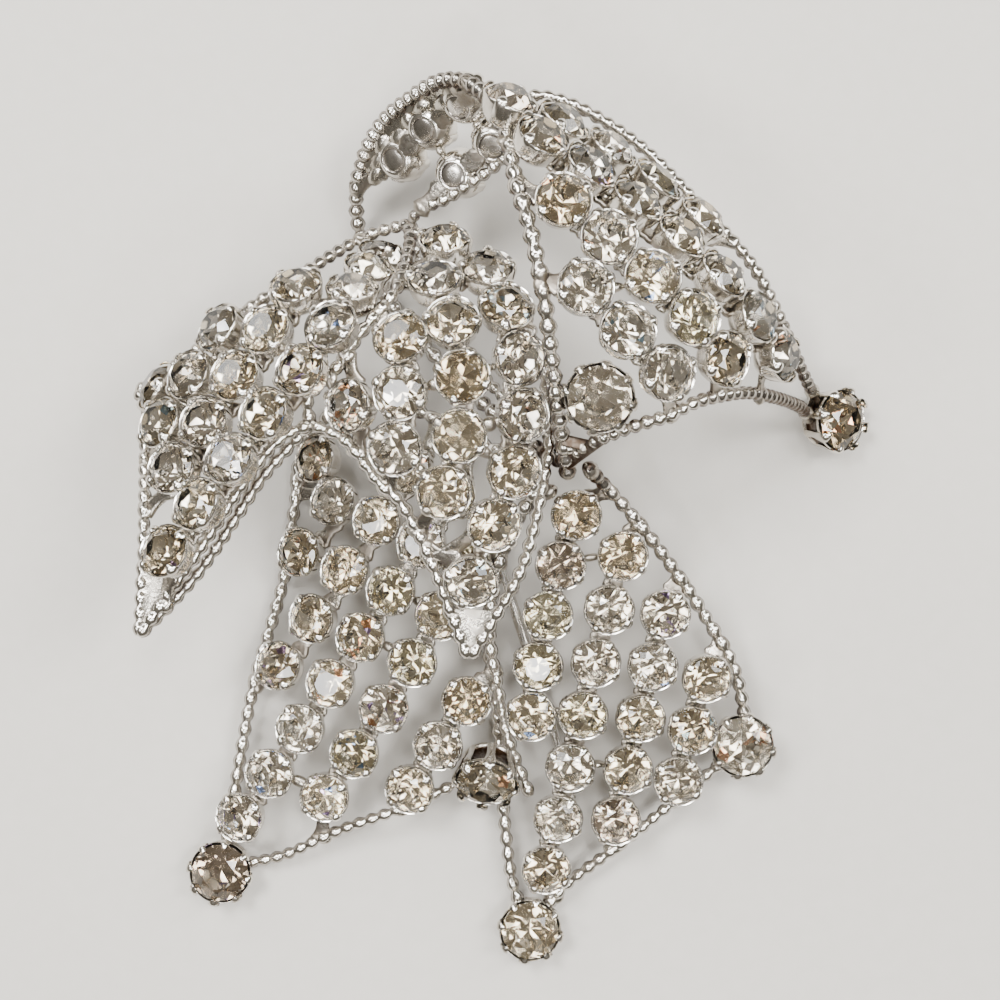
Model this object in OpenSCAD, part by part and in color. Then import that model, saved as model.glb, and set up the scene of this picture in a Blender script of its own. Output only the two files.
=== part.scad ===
// Rhinestone brooch: a folded ribbon bow of stone rows with beaded wire edges.
// Lies on its back on a table, front up, +Z up. Millimetres.

/* [Stones] */
// Diameter of a small stone, mm
stone_d = 3.9; // [3.5:0.05:3.95]
// Diameter of a large stone, mm
big_stone_d = 5.1; // [4.8:0.05:5.2]
// Width of a stone's flat table, as a share of its diameter
table_share = 0.56; // [0.45:0.01:0.65]
// Height of a small stone's crown above its edge, mm
crown_h = 0.9; // [0.6:0.05:1.1]
// Free gap between a stone and its cup, mm
seat_gap = 0.1; // [0.05:0.01:0.15]

/* [Metal] */
// Outer diameter of a small cup at its lip, mm
cup_d = 4.36; // [4.2:0.02:4.4]
// Height of a small cup, mm
cup_h = 2.2; // [2:0.05:2.4]
// Outer diameter of a large setting, mm
big_cup_d = 5.6; // [5.4:0.05:5.8]
// Height of a large setting, mm
big_cup_h = 2.6; // [2.4:0.05:2.8]
// Width of a small cup's foot, mm
cup_foot = 3.4; // [3.2:0.05:4.2]
// Width of the flat rail between two cups, mm
rail_w = 1.1; // [1:0.05:1.3]
// Thickness of a rail, mm
rail_t = 0.5; // [0.4:0.05:0.7]
// Diameter of the beaded edge wire, mm
wire_d = 1.15; // [1:0.05:1.2]

/* [Pin] */
// Diameter of the pin's stem, mm
pin_d = 0.9; // [0.7:0.05:1.1]
// Width of the pin's hinge and catch blocks, mm
pin_block = 2; // [1.6:0.1:2.4]

/* [Hidden] */

// Where the middle of the whole brooch lies, so that it comes to x = 0 and y = 0
middle = [0.95, -2.88];

metal = [0.78, 0.77, 0.74];
crystal = [0.90, 0.89, 0.85];
eps = 0.01;

// A panel is a smooth sheet through the edges of its stones. Columns: x and y of its
// own middle, turn of its rows, height, slope along, slope across, then for the low
// and high end along and the low and high side across: where its bend starts, and how
// strong the bend is.
// x, y, turn, height, slope along, slope across, a low, bend, a high, bend, b low, bend, b high, bend
right_loop = [0, 0, -40.5, 33, 0, -0.25, -12, 0.027, 0, 0.057, 0, 0, 20.6, 0.14];
front_leaf = [0, 0, 0, 24, 0, 0, -5, 0.04, -1.5, 0.07, 10, 0.0115, 10.5, 0.065];
left_leaf = [0, 0, -123.5, 34, 0, 0.6, -3, 0.14, 99, 0, -26, 0.25, 99, 0];
left_tail = [-13, -13, -122.5, 8, -0.15, 0, -99, 0, 99, 0, 5, 0.02, 99, 0];
right_tail = [0, -10, 0, 9.3, 0, 0.19, -99, 0, 99, 0, -99, 0, 99, 0];

// A row of stones runs over its panel. Columns: x and y of its first stone, x and y of
// its last stone, sideways bow, number of stones, length of bare rail before, after.
// A negative length leaves that end of the rail free.
right_loop_rows = [
    [0.8, 31.2, 16.4, 22.9, 1, 5, 1, 2],
    [3.3, 27.9, 22.5, 11.5, 1.3, 7, 3, 3],
    [4.8, 22.6, 17.4, 10.8, 0.4, 5, 3, 3],
    [6.4, 15.9, 12.7, 9.5, 0, 3, 3, 2]
];
front_leaf_rows = [
    [-4.6, 22, -4.4, 20.6, 0, 1, 0, 0],
    [-1, 18.6, -0.4, -2, 2.6, 6, 1, 2],
    [-5.2, 17.6, -4.4, 0.6, 1.9, 5, 1, 3],
    [-7.8, 12.7, -8.2, 4, 0.2, 3, 1, 2],
    [-12, 9.6, -12, 5.2, 0, 1, 0, 0],
    [-2.3, -4.3, -2.3, -8.7, 0, 1, 0, 1]
];
left_leaf_rows = [
    [-9.9, 20.8, -13.3, 13.8, 0, 4, 1, 0],
    [-15.7, 10.2, -26.4, -4, -0.3, 5, 0, 3],
    [-16.4, 17.2, -26.2, 2.6, 0.1, 5, 1, 2],
    [-22.9, 14, -27.6, 6.3, 0, 3, 1, 1],
    [-28.1, 11.2, -29.1, 7.6, 0, 1, 0, 0]
];
left_tail_rows = [
    [-16.2, 4.7, -16.8, 2.7, 0, 1, 0, 0],
    [-14.7, -0.1, -17.8, -4.6, 0, 2, 1, 2],
    [-7.9, 2.6, -19.6, -14.6, 0.2, 5, 1, 2],
    [-4.2, 0.4, -23.1, -28.1, 0.2, 8, 1, 2],
    [-2.8, -5.8, -15.4, -26.1, 0.3, 6, 1, 2],
    [-2.9, -17.4, -7.9, -25.3, 0, 3, 1, 2]
];
right_tail_rows = [
    [6.5, -1.3, 2.7, -18.8, -0.5, 5, 1, -1],
    [10.5, -4.8, 4.1, -32.7, -0.1, 7, 1, 2],
    [14.2, -9.8, 10.2, -28.2, 0, 5, 1, 2],
    [17.9, -15.5, 15.6, -24.6, 0, 3, 1, 2]
];

// Points of the edge wires, chosen by hand. Columns: x, y, height of the wire's middle.
rim_wire = [
    [5.6, 1.9, 16.5], [4.8, 4.8, 19.5], [3.9, 10.1, 24], [3.4, 15.2, 26.5], [2.3, 20.5, 27],
    [1.2, 24.5, 25.5], [0.4, 29, 22.5], [-1.2, 32.5, 19], [-3.3, 34.4, 16], [-5.9, 34.7, 13],
    [-9.9, 32.7, 9], [-12, 29.8, 6.3], [-12.8, 26.7, 3.8], [-12.4, 23.4, 1.8],
    [-10, 18, 0.6], [-4, 11, 2], [2, 5.5, 8], [5, 3, 14.2]
];
far_wire = [
    [28.3, 8.9, 3], [27.6, 9.7, 4.6], [26.5, 10.8, 7.2], [23.5, 15.3, 12.5], [20.6, 19.9, 14.5], [15.2, 25.7, 15],
    [11.4, 29.4, 15], [6.5, 32.4, 15.2], [2.9, 33.4, 15], [1.3, 32.2, 13.2], [0.3, 28.9, 11.8],
    [-4.3, 26, 9.4], [-7.6, 24.3, 7.2], [-6, 18, 4.5], [-1, 10.5, 4.5], [3.6, 6, 10],
    [6, 3.2, 14.8]
];
loop_bottom_wire = [
    [5.8, 3.4, 17.3], [7.9, 4.8, 20.5], [10.9, 5.9, 22.8], [13.2, 6.6, 23.3], [15.7, 7.8, 22.3],
    [19.3, 8.6, 19], [22.3, 8.6, 14.8], [25.8, 8.2, 7.8],
    [26.9, 7.8, 5], [27.8, 7.4, 3]
];
leaf_spine = [
    [-8.3, 23.6, 10.5], [-7.5, 22, 13], [-8.3, 17.1, 18.5], [-11, 13.4, 20.3], [-13.2, 10.3, 20.2],
    [-15.3, 8.2, 19.7], [-15.2, 6.1, 19.1]
];
front_right_edge = [
    [-7.6, 22.8, 11.6], [-1.2, 19.3, 14.5], [1.5, 16, 18], [2.9, 12.2, 20], [3.7, 9.2, 19.8],
    [3.9, 6.1, 18.3], [4, 4.1, 17.6], [3.6, 2.2, 17.6], [3.1, -0.6, 18], [1.9, -5.2, 18],
    [0, -8.8, 17.8], [-2.4, -12.8, 17.3]
];
front_left_edge = [
    [-15.2, 6.1, 19.1], [-12.4, 4.8, 19.3], [-9.6, 1.3, 19.3], [-7.9, -0.3, 19], [-5.6, -4.8, 18.3],
    [-2.6, -12.8, 17.3]
];
leaf_top_edge = [
    [-8.4, 23.5, 9.8], [-12.1, 22.5, 8.6], [-16.8, 18.9, 12.5], [-21.8, 15.5, 12.8],
    [-26.1, 12.2, 12], [-30.9, 9.2, 10.5]
];
leaf_left_edge = [
    [-30.9, 9.2, 10.5], [-29.7, 7.6, 12.3], [-29.3, 4.1, 15], [-28.9, 0, 17.2],
    [-28.8, -4.8, 18.5], [-29, -10.9, 19]
];
leaf_lower_edge = [
    [-15.2, 6.1, 19.1], [-17.6, 4.9, 19.3], [-20, 2.1, 19.5], [-24.9, -5.2, 19.4], [-29, -10.9, 19]
];
// The double edge's second wire, under the first and joined to it at both ends
leaf_second_edge = [
    for (i = [0 : len(leaf_lower_edge) - 1])
        leaf_lower_edge[i] + (i > 0 && i < len(leaf_lower_edge) - 1 ? [0.6, -0.6, -1.1] : [0, 0, 0])
];
left_tail_left_wire = [
    [3.8, 2.5, 13.8], [-2, 5, 10.5], [-8, 8, 7], [-14.5, 8, 3.6], [-18, 3.9, 1.2], [-18.6, -0.6, 1.1],
    [-19.6, -7.4, 1.3], [-22.1, -16.3, 1.9], [-23.5, -24, 2.1], [-24.7, -31.1, 1.3]
];
left_tail_bottom_wire = [
    [-22.9, -32.8, 1.3], [-19.2, -31.8, 2.4], [-14.5, -29.5, 3.6], [-9.3, -27.5, 4.7],
    [-5.8, -25.9, 5.3], [-3.1, -24.6, 5.3]
];
left_tail_right_wire = [
    [3.8, 2.1, 13.6], [0.8, -3, 10.6], [-0.6, -8, 8.4], [-0.9, -12.1, 6.4], [0, -17.6, 4.8],
    [1, -22, 4.9], [2.7, -26.2, 4.6]
];
right_tail_right_wire = [
    [7.1, 2.9, 14.6], [9, 1.1, 11.5], [11.1, -1.1, 10], [13.9, -4.5, 8.7], [17.2, -9.1, 7.3],
    [20.5, -14.6, 5.8], [21.8, -19.5, 3.9]
];
right_tail_bottom_wire = [
    [19.8, -23.3, 3.8], [15, -27.3, 3.6], [10.5, -31, 2.9], [6.4, -34.2, 2.2],
    [4.2, -36.8, 1.3]
];
right_tail_left_wire = [
    [4.6, 1, 12.2], [1.6, -1.5, 9.2], [-0.6, -7, 6.2], [-1, -13.2, 4.2], [-0.4, -17.8, 3.1],
    [-0.1, -21.3, 2.8], [0.4, -28.6, 2.4], [1, -33.8, 2], [1.8, -36.5, 1.3]
];

// Large settings. Columns: x, y, height of the base, tilt from upright, direction of the tilt.
center_seat = [8, 8.4, 21.4, 12, 240];
loop_tip_seat = [29.03, 7.3, 1.26, 33, 352];
left_tip_seat = [-25.1, -33.4, 0, 0, 0];
left_corner_seat = [-0.95, -23, 5.2, 38, 261];
right_corner_seat = [21.4, -21.7, 2.6, 0, 0];
right_tip_seat = [2.7, -38.6, 0, 0, 0];

// Rows on the part of the loop that turns under, between the rim and the far wire.
// Columns: share of the way across from the rim, first and last place along, stones.
under_rows = [
    [0.32, 0.34, 0.76, 3],
    [0.84, 0.38, 0.64, 2]
];
// How far the stones' edges lie outside the sheet between the two wires
under_rise = 1.6;
// The stretch of the two wires that this part hangs between, as places in their tables
under_rim = [7.3, 11.6];
under_far = [9, 11.6];

function unit(v) = v / norm(v);
function sum_to(list, i) = i < 0 ? 0 : list[i] + sum_to(list, i - 1);
function mix(p, q, t) = p * (1 - t) + q * t;
function above(x) = max(0, x);

// Smooth curve through a table of points, u counts along the points
function curve(P, u) =
    let(i = max(0, min(floor(u), len(P) - 2)))
    let(f = u - i)
    let(p0 = P[max(i - 1, 0)])
    let(p1 = P[i])
    let(p2 = P[i + 1])
    let(p3 = P[min(i + 2, len(P) - 1)])
    0.5 * (2 * p1 + (p2 - p0) * f + (2 * p0 - 5 * p1 + 4 * p2 - p3) * f * f
        + (3 * p1 - p0 - 3 * p2 + p3) * f * f * f);

// A panel's own coordinates, height and upward normal at x, y
function along(S, x, y) = (x - S[0]) * cos(S[2]) + (y - S[1]) * sin(S[2]);
function across(S, x, y) = (y - S[1]) * cos(S[2]) - (x - S[0]) * sin(S[2]);
function height(S, x, y) =
    let(a = along(S, x, y))
    let(b = across(S, x, y))
    S[3] + S[4] * a + S[5] * b - S[7] * pow(above(S[6] - a), 2) - S[9] * pow(above(a - S[8]), 2)
        - S[11] * pow(above(S[10] - b), 2) - S[13] * pow(above(b - S[12]), 2);
function normal(S, x, y) =
    let(a = along(S, x, y))
    let(b = across(S, x, y))
    let(ga = S[4] + 2 * S[7] * above(S[6] - a) - 2 * S[9] * above(a - S[8]))
    let(gb = S[5] + 2 * S[11] * above(S[10] - b) - 2 * S[13] * above(b - S[12]))
    unit([gb * sin(S[2]) - ga * cos(S[2]), -ga * sin(S[2]) - gb * cos(S[2]), 1]);

// A point of a row on its panel, t runs from 0 at the first stone to 1 at the last
function row_point(S, R, t) =
    let(p = [R[0], R[1]])
    let(q = [R[2], R[3]])
    let(side = unit([p.y - q.y, q.x - p.x]))
    let(xy = mix(p, q, t) + side * R[4] * 4 * t * (1 - t))
    [xy.x, xy.y, height(S, xy.x, xy.y)];

// Places at equal steps of true length along a row
function row_lengths(S, R) =
    let(n = 24)
    let(P = [for (i = [-6 : n + 6]) row_point(S, R, i / n)])
    let(L = [for (i = [0 : len(P) - 2]) norm(P[i + 1] - P[i])])
    let(base = sum_to(L, 5))
    [for (i = [0 : len(P) - 1]) [sum_to(L, i - 1) - base, (i - 6) / n]];
function row_total(S, R) = row_lengths(S, R)[30][0];
function row_steps(S, R) =
    R[5] < 2 ? [row_total(S, R) / 2] : [for (i = [0 : R[5] - 1]) i * row_total(S, R) / (R[5] - 1)];
function placed(S, R, T, s) =
    let(p = row_point(S, R, lookup(s, T)))
    let(q = row_point(S, R, lookup(s, T) + 0.02))
    let(n = normal(S, p.x, p.y))
    [p, n, unit(cross(cross(n, q - p), n))];

// Stones of a row as [middle of the stone's edge, normal, direction of the row]
function row_stones(S, R) =
    let(T = row_lengths(S, R))
    [for (s = row_steps(S, R)) placed(S, R, T, s)];
// Where the bare ends of a row's rail reach to, on the rail's level
function row_ends(S, R) =
    let(T = row_lengths(S, R))
    let(last = row_total(S, R))
    [for (s = [-R[6] - 1, last + R[7] + 1]) let(P = placed(S, R, T, s)) P[0] - P[1] * cup_h];
function field(S, rows) = [for (R = rows) each row_stones(S, R)];

// Rows under the loop: the sheet hangs between the two wires, stones face outward
function under_point(w, t) =
    mix(curve(rim_wire, mix(under_rim[0], under_rim[1], t)),
        curve(far_wire, mix(under_far[0], under_far[1], t)), w);
function under_place(w, t) =
    let(p = under_point(w, t))
    let(d = unit(under_point(w, t + 0.02) - p))
    let(s = under_point(w + 0.02, t) - p)
    let(n = unit(cross(s, d)))
    [p + n * under_rise, n, d];
function under_steps(U) = [for (i = [0 : U[3] - 1]) mix(U[1], U[2], i / (U[3] - 1))];
function under_stones() = [for (U = under_rows) each [for (t = under_steps(U)) under_place(U[0], t)]];
function under_row(U) = [for (t = under_steps(U)) under_place(U[0], t)];

// Large stones as the same triple, from a seat
function seat_normal(C) = [sin(C[3]) * cos(C[4]), sin(C[3]) * sin(C[4]), cos(C[3])];
function seat_place(C) =
    let(n = seat_normal(C))
    [[C[0], C[1], C[2]] + n * big_cup_h, n, unit(cross([0, 1, 0], n))];

// Puts children at a place, their own x along the row and z along the normal
module put(place) {
    n = place[1];
    d = place[2];
    s = cross(n, d);
    p = place[0];
    multmatrix([
        [d.x, s.x, n.x, p.x],
        [d.y, s.y, n.y, p.y],
        [d.z, s.z, n.z, p.z],
        [0, 0, 0, 1]
    ])
        children();
}

function ring(r, z, n = 8) = [for (i = [0 : n - 1]) [r * cos((i + 0.5) * 360 / n), r * sin((i + 0.5) * 360 / n), z]];

// A cut stone: flat table, eight crown facets and eight pavilion facets, edge at z = 0
module cut_stone(d, crown, depth) {
    points = concat(ring(d * table_share / 2, crown), ring(d / 2, 0), [[0, 0, -depth]]);
    faces = concat(
        [[for (i = [7 : -1 : 0]) i]],
        [for (i = [0 : 7]) [i, (i + 1) % 8, 8 + (i + 1) % 8, 8 + i]],
        [for (i = [0 : 7]) [8 + i, 8 + (i + 1) % 8, 16]]
    );
    polyhedron(points, faces);
}

// A cup: a little narrower at its foot, with flat sides and a pointed hollow for the
// stone. Every second corner of its lip is drawn up into a prong.
module cup(d, foot, h, stone, depth, prong, sides = 8) {
    hollow = stone / 2 + seat_gap * 1.25;
    angle = 360 / sides;
    flare = (d - foot) / 2 / h;
    odd = [for (i = [1 : 2 : sides - 1]) i];
    lip = [for (i = [0 : sides - 1])
        let(z = i % 2 ? prong : 0)
        let(r = d / 2 + z * flare)
        [r * cos((i + 0.5) * angle), r * sin((i + 0.5) * angle), z]];
    hollow_points = [for (i = odd) [hollow * cos((i + 0.5) * angle), hollow * sin((i + 0.5) * angle), 0]];
    points = concat(ring(foot / 2, -h, sides), lip, hollow_points, [[0, 0, -depth - seat_gap * 1.6]]);
    last = len(points) - 1;
    faces = concat(
        [[for (i = [0 : sides - 1]) i]],
        [for (i = [0 : sides - 1]) let(j = (i + 1) % sides) [i, sides + i, sides + j, j]],
        [for (k = [0 : len(odd) - 1])
            let(before = sides + odd[k] - 1)
            let(tip = sides + odd[k])
            let(after = sides + (odd[k] + 1) % sides)
            let(inner = 2 * sides + k)
            each [[tip, before, inner], [tip, inner, after], [before, last, inner], [inner, last, after]]]
    );
    polyhedron(points, faces);
}

module small_stone() {
    cut_stone(stone_d, crown_h, 1.55);
}

module small_cup() {
    cup(cup_d, cup_foot, cup_h, stone_d, 1.55, 0.42);
}

module big_stone() {
    cut_stone(big_stone_d, crown_h * 1.25, 1.95);
}

// A large setting: a deeper cup with eight pointed prongs
module big_setting() {
    cup(big_cup_d, 4.6, big_cup_h, big_stone_d, 1.95, 0.85, 16);
}

// A flat bar of the rail from one place to the next, each end given as [point, normal]
// with the point on the middle of the bar's foot side
module bar(A, B) {
    d = unit(B[0] - A[0]);
    n = unit(cross(cross(d, A[1] + B[1]), d));
    put([A[0], n, d])
        translate([0, -rail_w / 2, 0])
            cube([norm(B[0] - A[0]), rail_w, rail_t]);
}

// The rail of a row: a bar between each two cups, and one from each end to a wire.
// The bars end inside the cups, below the stones' hollows.
function foot_of(P) = P[0] - P[1] * (cup_h - 0.15);
function inside(P, q) =
    let(way = q - foot_of(P))
    foot_of(P) + unit(way - P[1] * (way * P[1])) * 1.2;
module rail(places, first, last, free = false) {
    n = len(places);
    if (n > 1)
        for (i = [0 : n - 2])
            bar([inside(places[i], foot_of(places[i + 1])), places[i][1]],
                [inside(places[i + 1], foot_of(places[i])), places[i + 1][1]]);
    bar([inside(places[0], first), places[0][1]], [first - places[0][1] * rail_t / 2, places[0][1]]);
    if (!free)
        bar([inside(places[n - 1], last), places[n - 1][1]],
            [last - places[n - 1][1] * rail_t / 2, places[n - 1][1]]);
}

// A six-sided tube swept through a table of points, with a ring about every 7 mm
function tube_places(P) =
    concat(
        [for (i = [0 : len(P) - 2])
            let(m = max(1, ceil(norm(P[i + 1] - P[i]) / 8)))
            for (k = [0 : m - 1]) i + k / m],
        [len(P) - 1]
    );
module tube(P, d = wire_d, sides = 6) {
    U = tube_places(P);
    n = len(U);
    points = [
        for (u = U)
            let(c = curve(P, u))
            let(t = unit(curve(P, min(u + 0.05, len(P) - 1)) - curve(P, max(u - 0.05, 0))))
            let(a = unit(cross([0.2, 0.1, 1], t)))
            let(b = cross(t, a))
            for (k = [0 : sides - 1])
                c + (a * cos(k * 360 / sides) + b * sin(k * 360 / sides)) * d / 2
    ];
    faces = concat(
        [[for (k = [0 : sides - 1]) k]],
        [for (i = [0 : n - 2]) for (k = [0 : sides - 1])
            [i * sides + k, (i + 1) * sides + k,
             (i + 1) * sides + (k + 1) % sides, i * sides + (k + 1) % sides]],
        [[for (k = [sides - 1 : -1 : 0]) (n - 1) * sides + k]]
    );
    polyhedron(points, faces, convexity = 6);
}

// The point of the panel's wires that lies nearest to p
function wire_points(wires) = [
    for (P = wires)
        let(U = tube_places(P))
        for (i = [0 : len(U) - 2])
            for (f = [0.1 : 0.2 : 0.9])
                mix(curve(P, U[i]), curve(P, U[i + 1]), f)
];
function nearest(p, Q) =
    let(best = min([for (q = Q) norm(q - p)]))
    [for (q = Q) if (norm(q - p) <= best + eps) q][0];

// The metal of one panel: wires, rails and cups
module panel_metal(S, rows, wires) {
    Q = wire_points(wires);
    for (P = wires)
        tube(P);
    for (R = rows) {
        ends = row_ends(S, R);
        rail(row_stones(S, R), nearest(ends[0], Q), nearest(ends[1], Q), R[7] < 0);
    }
    for (place = field(S, rows))
        put(place) small_cup();
}

module stones(places) {
    for (place = places)
        put(place) small_stone();
}

module setting_at(C) {
    put(seat_place(C)) big_setting();
}

// A flat bar from under a large setting to the nearest wire on one side
module strap(C, way, Q) {
    n = seat_normal(C);
    side = unit(way - n * (way * n));
    base = [C[0], C[1], C[2]] + n * 0.15;
    goal = nearest(base + side * 4, Q);
    bar([base + side * 1.6, n], [goal - n * rail_t / 2, n]);
}

module stone_at(C) {
    color(crystal)
        move_home()
            put(seat_place(C)) big_stone();
}

module move_home() {
    translate([-middle.x, -middle.y, 0]) children();
}

module right_loop_frame() {
    wires = [rim_wire, far_wire, loop_bottom_wire];
    Q = wire_points(wires);
    color(metal)
        move_home()
            union() {
                panel_metal(right_loop, right_loop_rows, wires);
                for (U = under_rows)
                    rail(under_row(U), nearest(under_point(U[0], U[1] - 0.3), Q),
                        nearest(under_point(U[0], U[2] + 0.3), Q));
                for (place = under_stones())
                    put(place) small_cup();
                setting_at(center_seat);
                strap(center_seat, [-1, 0.2, 0], Q);
                strap(center_seat, [0.2, -1, 0], Q);
                setting_at(loop_tip_seat);
            }
}

module left_wing_frame() {
    front = [leaf_spine, front_right_edge, front_left_edge];
    left = [leaf_spine, leaf_top_edge, leaf_left_edge, leaf_lower_edge];
    color(metal)
        move_home()
            union() {
                panel_metal(front_leaf, front_leaf_rows, front);
                panel_metal(left_leaf, left_leaf_rows, left);
                tube(leaf_second_edge);
            }
}

module left_tail_frame() {
    color(metal)
        move_home()
            union() {
                panel_metal(left_tail, left_tail_rows,
                    [left_tail_left_wire, left_tail_bottom_wire, left_tail_right_wire]);
                setting_at(left_tip_seat);
                setting_at(left_corner_seat);
            }
}

module right_tail_frame() {
    color(metal)
        move_home()
            union() {
                panel_metal(right_tail, right_tail_rows,
                    [right_tail_right_wire, right_tail_bottom_wire, right_tail_left_wire]);
                setting_at(right_corner_seat);
                setting_at(right_tip_seat);
            }
}

// The pin: a straight stem between a hinge block and a catch block, in one piece
hinge_at = [-0.4, -4.6];
catch_at = [6.3, -25.4];
module back_pin() {
    dir = catch_at - hinge_at;
    turn = atan2(dir.y, dir.x);
    color(metal)
        move_home() {
            translate([hinge_at.x, hinge_at.y, 1.3])
                rotate([0, 90, turn])
                    translate([0, 0, -0.5])
                        cylinder(d = pin_d, h = norm(dir) + 1, $fn = 16);
            translate([hinge_at.x, hinge_at.y, 0.5])
                rotate(turn)
                    translate([-1, -pin_block / 2, 0]) cube([2, pin_block, 5.6]);
            translate([catch_at.x, catch_at.y, 0.5])
                rotate(turn)
                    translate([-1, -pin_block / 2, 0]) cube([2, pin_block, 3]);
        }
}

module right_loop_stones() {
    color(crystal)
        move_home()
            stones(concat(field(right_loop, right_loop_rows), under_stones()));
}

module front_leaf_stones() {
    color(crystal)
        move_home()
            stones(field(front_leaf, front_leaf_rows));
}

module left_leaf_stones() {
    color(crystal)
        move_home()
            stones(field(left_leaf, left_leaf_rows));
}

module left_tail_stones() {
    color(crystal)
        move_home()
            stones(field(left_tail, left_tail_rows));
}

module right_tail_stones() {
    color(crystal)
        move_home()
            stones(field(right_tail, right_tail_rows));
}

module center_stone() {
    stone_at(center_seat);
}

module loop_tip_stone() {
    stone_at(loop_tip_seat);
}

module left_tail_tip_stone() {
    stone_at(left_tip_seat);
}

module left_tail_corner_stone() {
    stone_at(left_corner_seat);
}

module right_tail_corner_stone() {
    stone_at(right_corner_seat);
}

module right_tail_tip_stone() {
    stone_at(right_tip_seat);
}

right_loop_frame();
left_wing_frame();
left_tail_frame();
right_tail_frame();
back_pin();
right_loop_stones();
front_leaf_stones();
left_leaf_stones();
left_tail_stones();
right_tail_stones();
center_stone();
loop_tip_stone();
left_tail_tip_stone();
left_tail_corner_stone();
right_tail_corner_stone();
right_tail_tip_stone();
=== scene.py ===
"""Looks of the rhinestone brooch: a folded ribbon bow of stone rows with beaded wire edges.

The metal of each of the bow's four soldered parts, the pin and the cut stones are surfaces
worked out with numpy from a few short tables of sizes. The tables are in millimetres, in the
drawing's own place; MIDDLE takes them to the CAD part's frame. Each piece stands for the CAD
node whose form it carries.
"""
import logging
from dataclasses import dataclass, replace
from enum import Enum
from typing import Any

import bpy
import numpy as np
import numpy.typing as npt
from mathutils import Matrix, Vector


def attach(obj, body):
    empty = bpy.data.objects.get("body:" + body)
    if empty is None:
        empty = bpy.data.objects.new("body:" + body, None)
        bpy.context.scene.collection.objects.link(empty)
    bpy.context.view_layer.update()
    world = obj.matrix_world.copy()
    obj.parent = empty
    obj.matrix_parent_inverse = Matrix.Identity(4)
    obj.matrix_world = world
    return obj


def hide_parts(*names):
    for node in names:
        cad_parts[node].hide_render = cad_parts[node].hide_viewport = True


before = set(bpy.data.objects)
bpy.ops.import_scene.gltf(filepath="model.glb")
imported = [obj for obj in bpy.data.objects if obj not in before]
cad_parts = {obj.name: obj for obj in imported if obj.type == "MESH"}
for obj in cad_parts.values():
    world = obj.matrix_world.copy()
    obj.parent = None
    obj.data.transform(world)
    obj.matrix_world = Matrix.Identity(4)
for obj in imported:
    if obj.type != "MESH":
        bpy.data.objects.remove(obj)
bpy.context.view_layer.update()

Floats = npt.NDArray[np.float64]
Ints = npt.NDArray[np.int64]
Triple = tuple[float, float, float]

LOG = logging.getLogger("brooch")

MILLIMETRE = 0.001
# The drawing's own middle, which comes to x = 0 and y = 0 of the frame
MIDDLE = np.array([0.95, -2.88, 0.0])
UP = np.array([0.0, 0.0, 1.0])
# Steps of a smooth curve between two rows of its table
CURVE_STEPS = 24
# Share of a line or a band from which a direction is taken
SHORT_STEP = 0.02
# Points at each end of a wire's smooth curve on which no rail lands
BARE_POINTS = 6
# The colour attribute that carries tarnish and painted shade on metal, and tint and painted glints on stones
TONE = "tone"


class Finish(Enum):
    """The finishes of the brooch, in the order of a piece's material slots."""

    PLATING = 0
    SOLDER = 1
    CROWN_GLASS = 2
    FOIL = 3
    PIN_STEEL = 4


class Slot(Enum):
    """The names of the record's material slots."""

    METAL = "plated_metal"
    STONE = "rhinestone"
    PIN = "pin_metal"


class Tint(Enum):
    """The tints that the stones have."""

    CLEAR = 0
    WARM = 1
    CHAMPAGNE = 2
    SMOKY = 3
    STRAW = 4


# Vectors and curves


def unit(vectors: Floats) -> Floats:
    """Vectors divided by their own length.

    Args:
        vectors: Any array whose last axis holds x, y, z.

    Returns:
        The same array with every vector one long.
    """
    tiny = 1e-9
    return vectors / np.maximum(np.linalg.norm(vectors, axis=-1, keepdims=True), tiny)


def smooth_curve(table: Floats, places: Floats) -> Floats:
    """Points of the smooth curve through a table of points.

    Between the points i and i + 1 the curve is the cubic whose slope at each point is half
    the step between that point's two neighbours.

    Args:
        table: The points that the curve passes, one a row.
        places: Where on the curve, counted along the table's rows.

    Returns:
        One point for each place.
    """
    i = np.clip(np.floor(places).astype(int), 0, len(table) - 2)
    f = (places - i)[:, None]
    before, here = table[np.maximum(i - 1, 0)], table[i]
    after, beyond = table[i + 1], table[np.minimum(i + 2, len(table) - 1)]
    return 0.5 * (
        2 * here
        + (after - before) * f
        + (2 * before - 5 * here + 4 * after - beyond) * f**2
        + (3 * here - before - 3 * after + beyond) * f**3
    )


def dense_curve(table: Floats, steps: int = CURVE_STEPS) -> Floats:
    """The smooth curve through a table, at a fixed number of steps between two rows."""
    return smooth_curve(table, np.linspace(0, len(table) - 1, (len(table) - 1) * steps + 1))


def lengths_along(path: Floats) -> Floats:
    """Distance from the start of a path to each of its points."""
    return np.concatenate([[0.0], np.cumsum(np.linalg.norm(np.diff(path, axis=0), axis=1))])


def at_lengths(path: Floats, where: Floats) -> Floats:
    """Points of a path at given distances from its start."""
    run = lengths_along(path)
    return np.stack([np.interp(where, run, path[:, k]) for k in range(path.shape[1])], axis=1)


def nearest_point(point: Floats, path: Floats) -> Floats:
    """The point of a path that lies nearest to a point."""
    return path[np.argmin(np.linalg.norm(path - point, axis=1))]


def around(angles: Floats, across: Floats, up: Floats) -> Floats:
    """Points on circles in the plane of two directions.

    Args:
        angles: Angle of each point in radians, counted from the first direction.
        across: First direction, one vector for each circle.
        up: Second direction, one vector for each circle.

    Returns:
        An array of circle, angle and x, y, z.
    """
    return (
        across[:, None, :] * np.cos(angles)[None, :, None]
        + up[:, None, :] * np.sin(angles)[None, :, None]
    )


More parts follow.
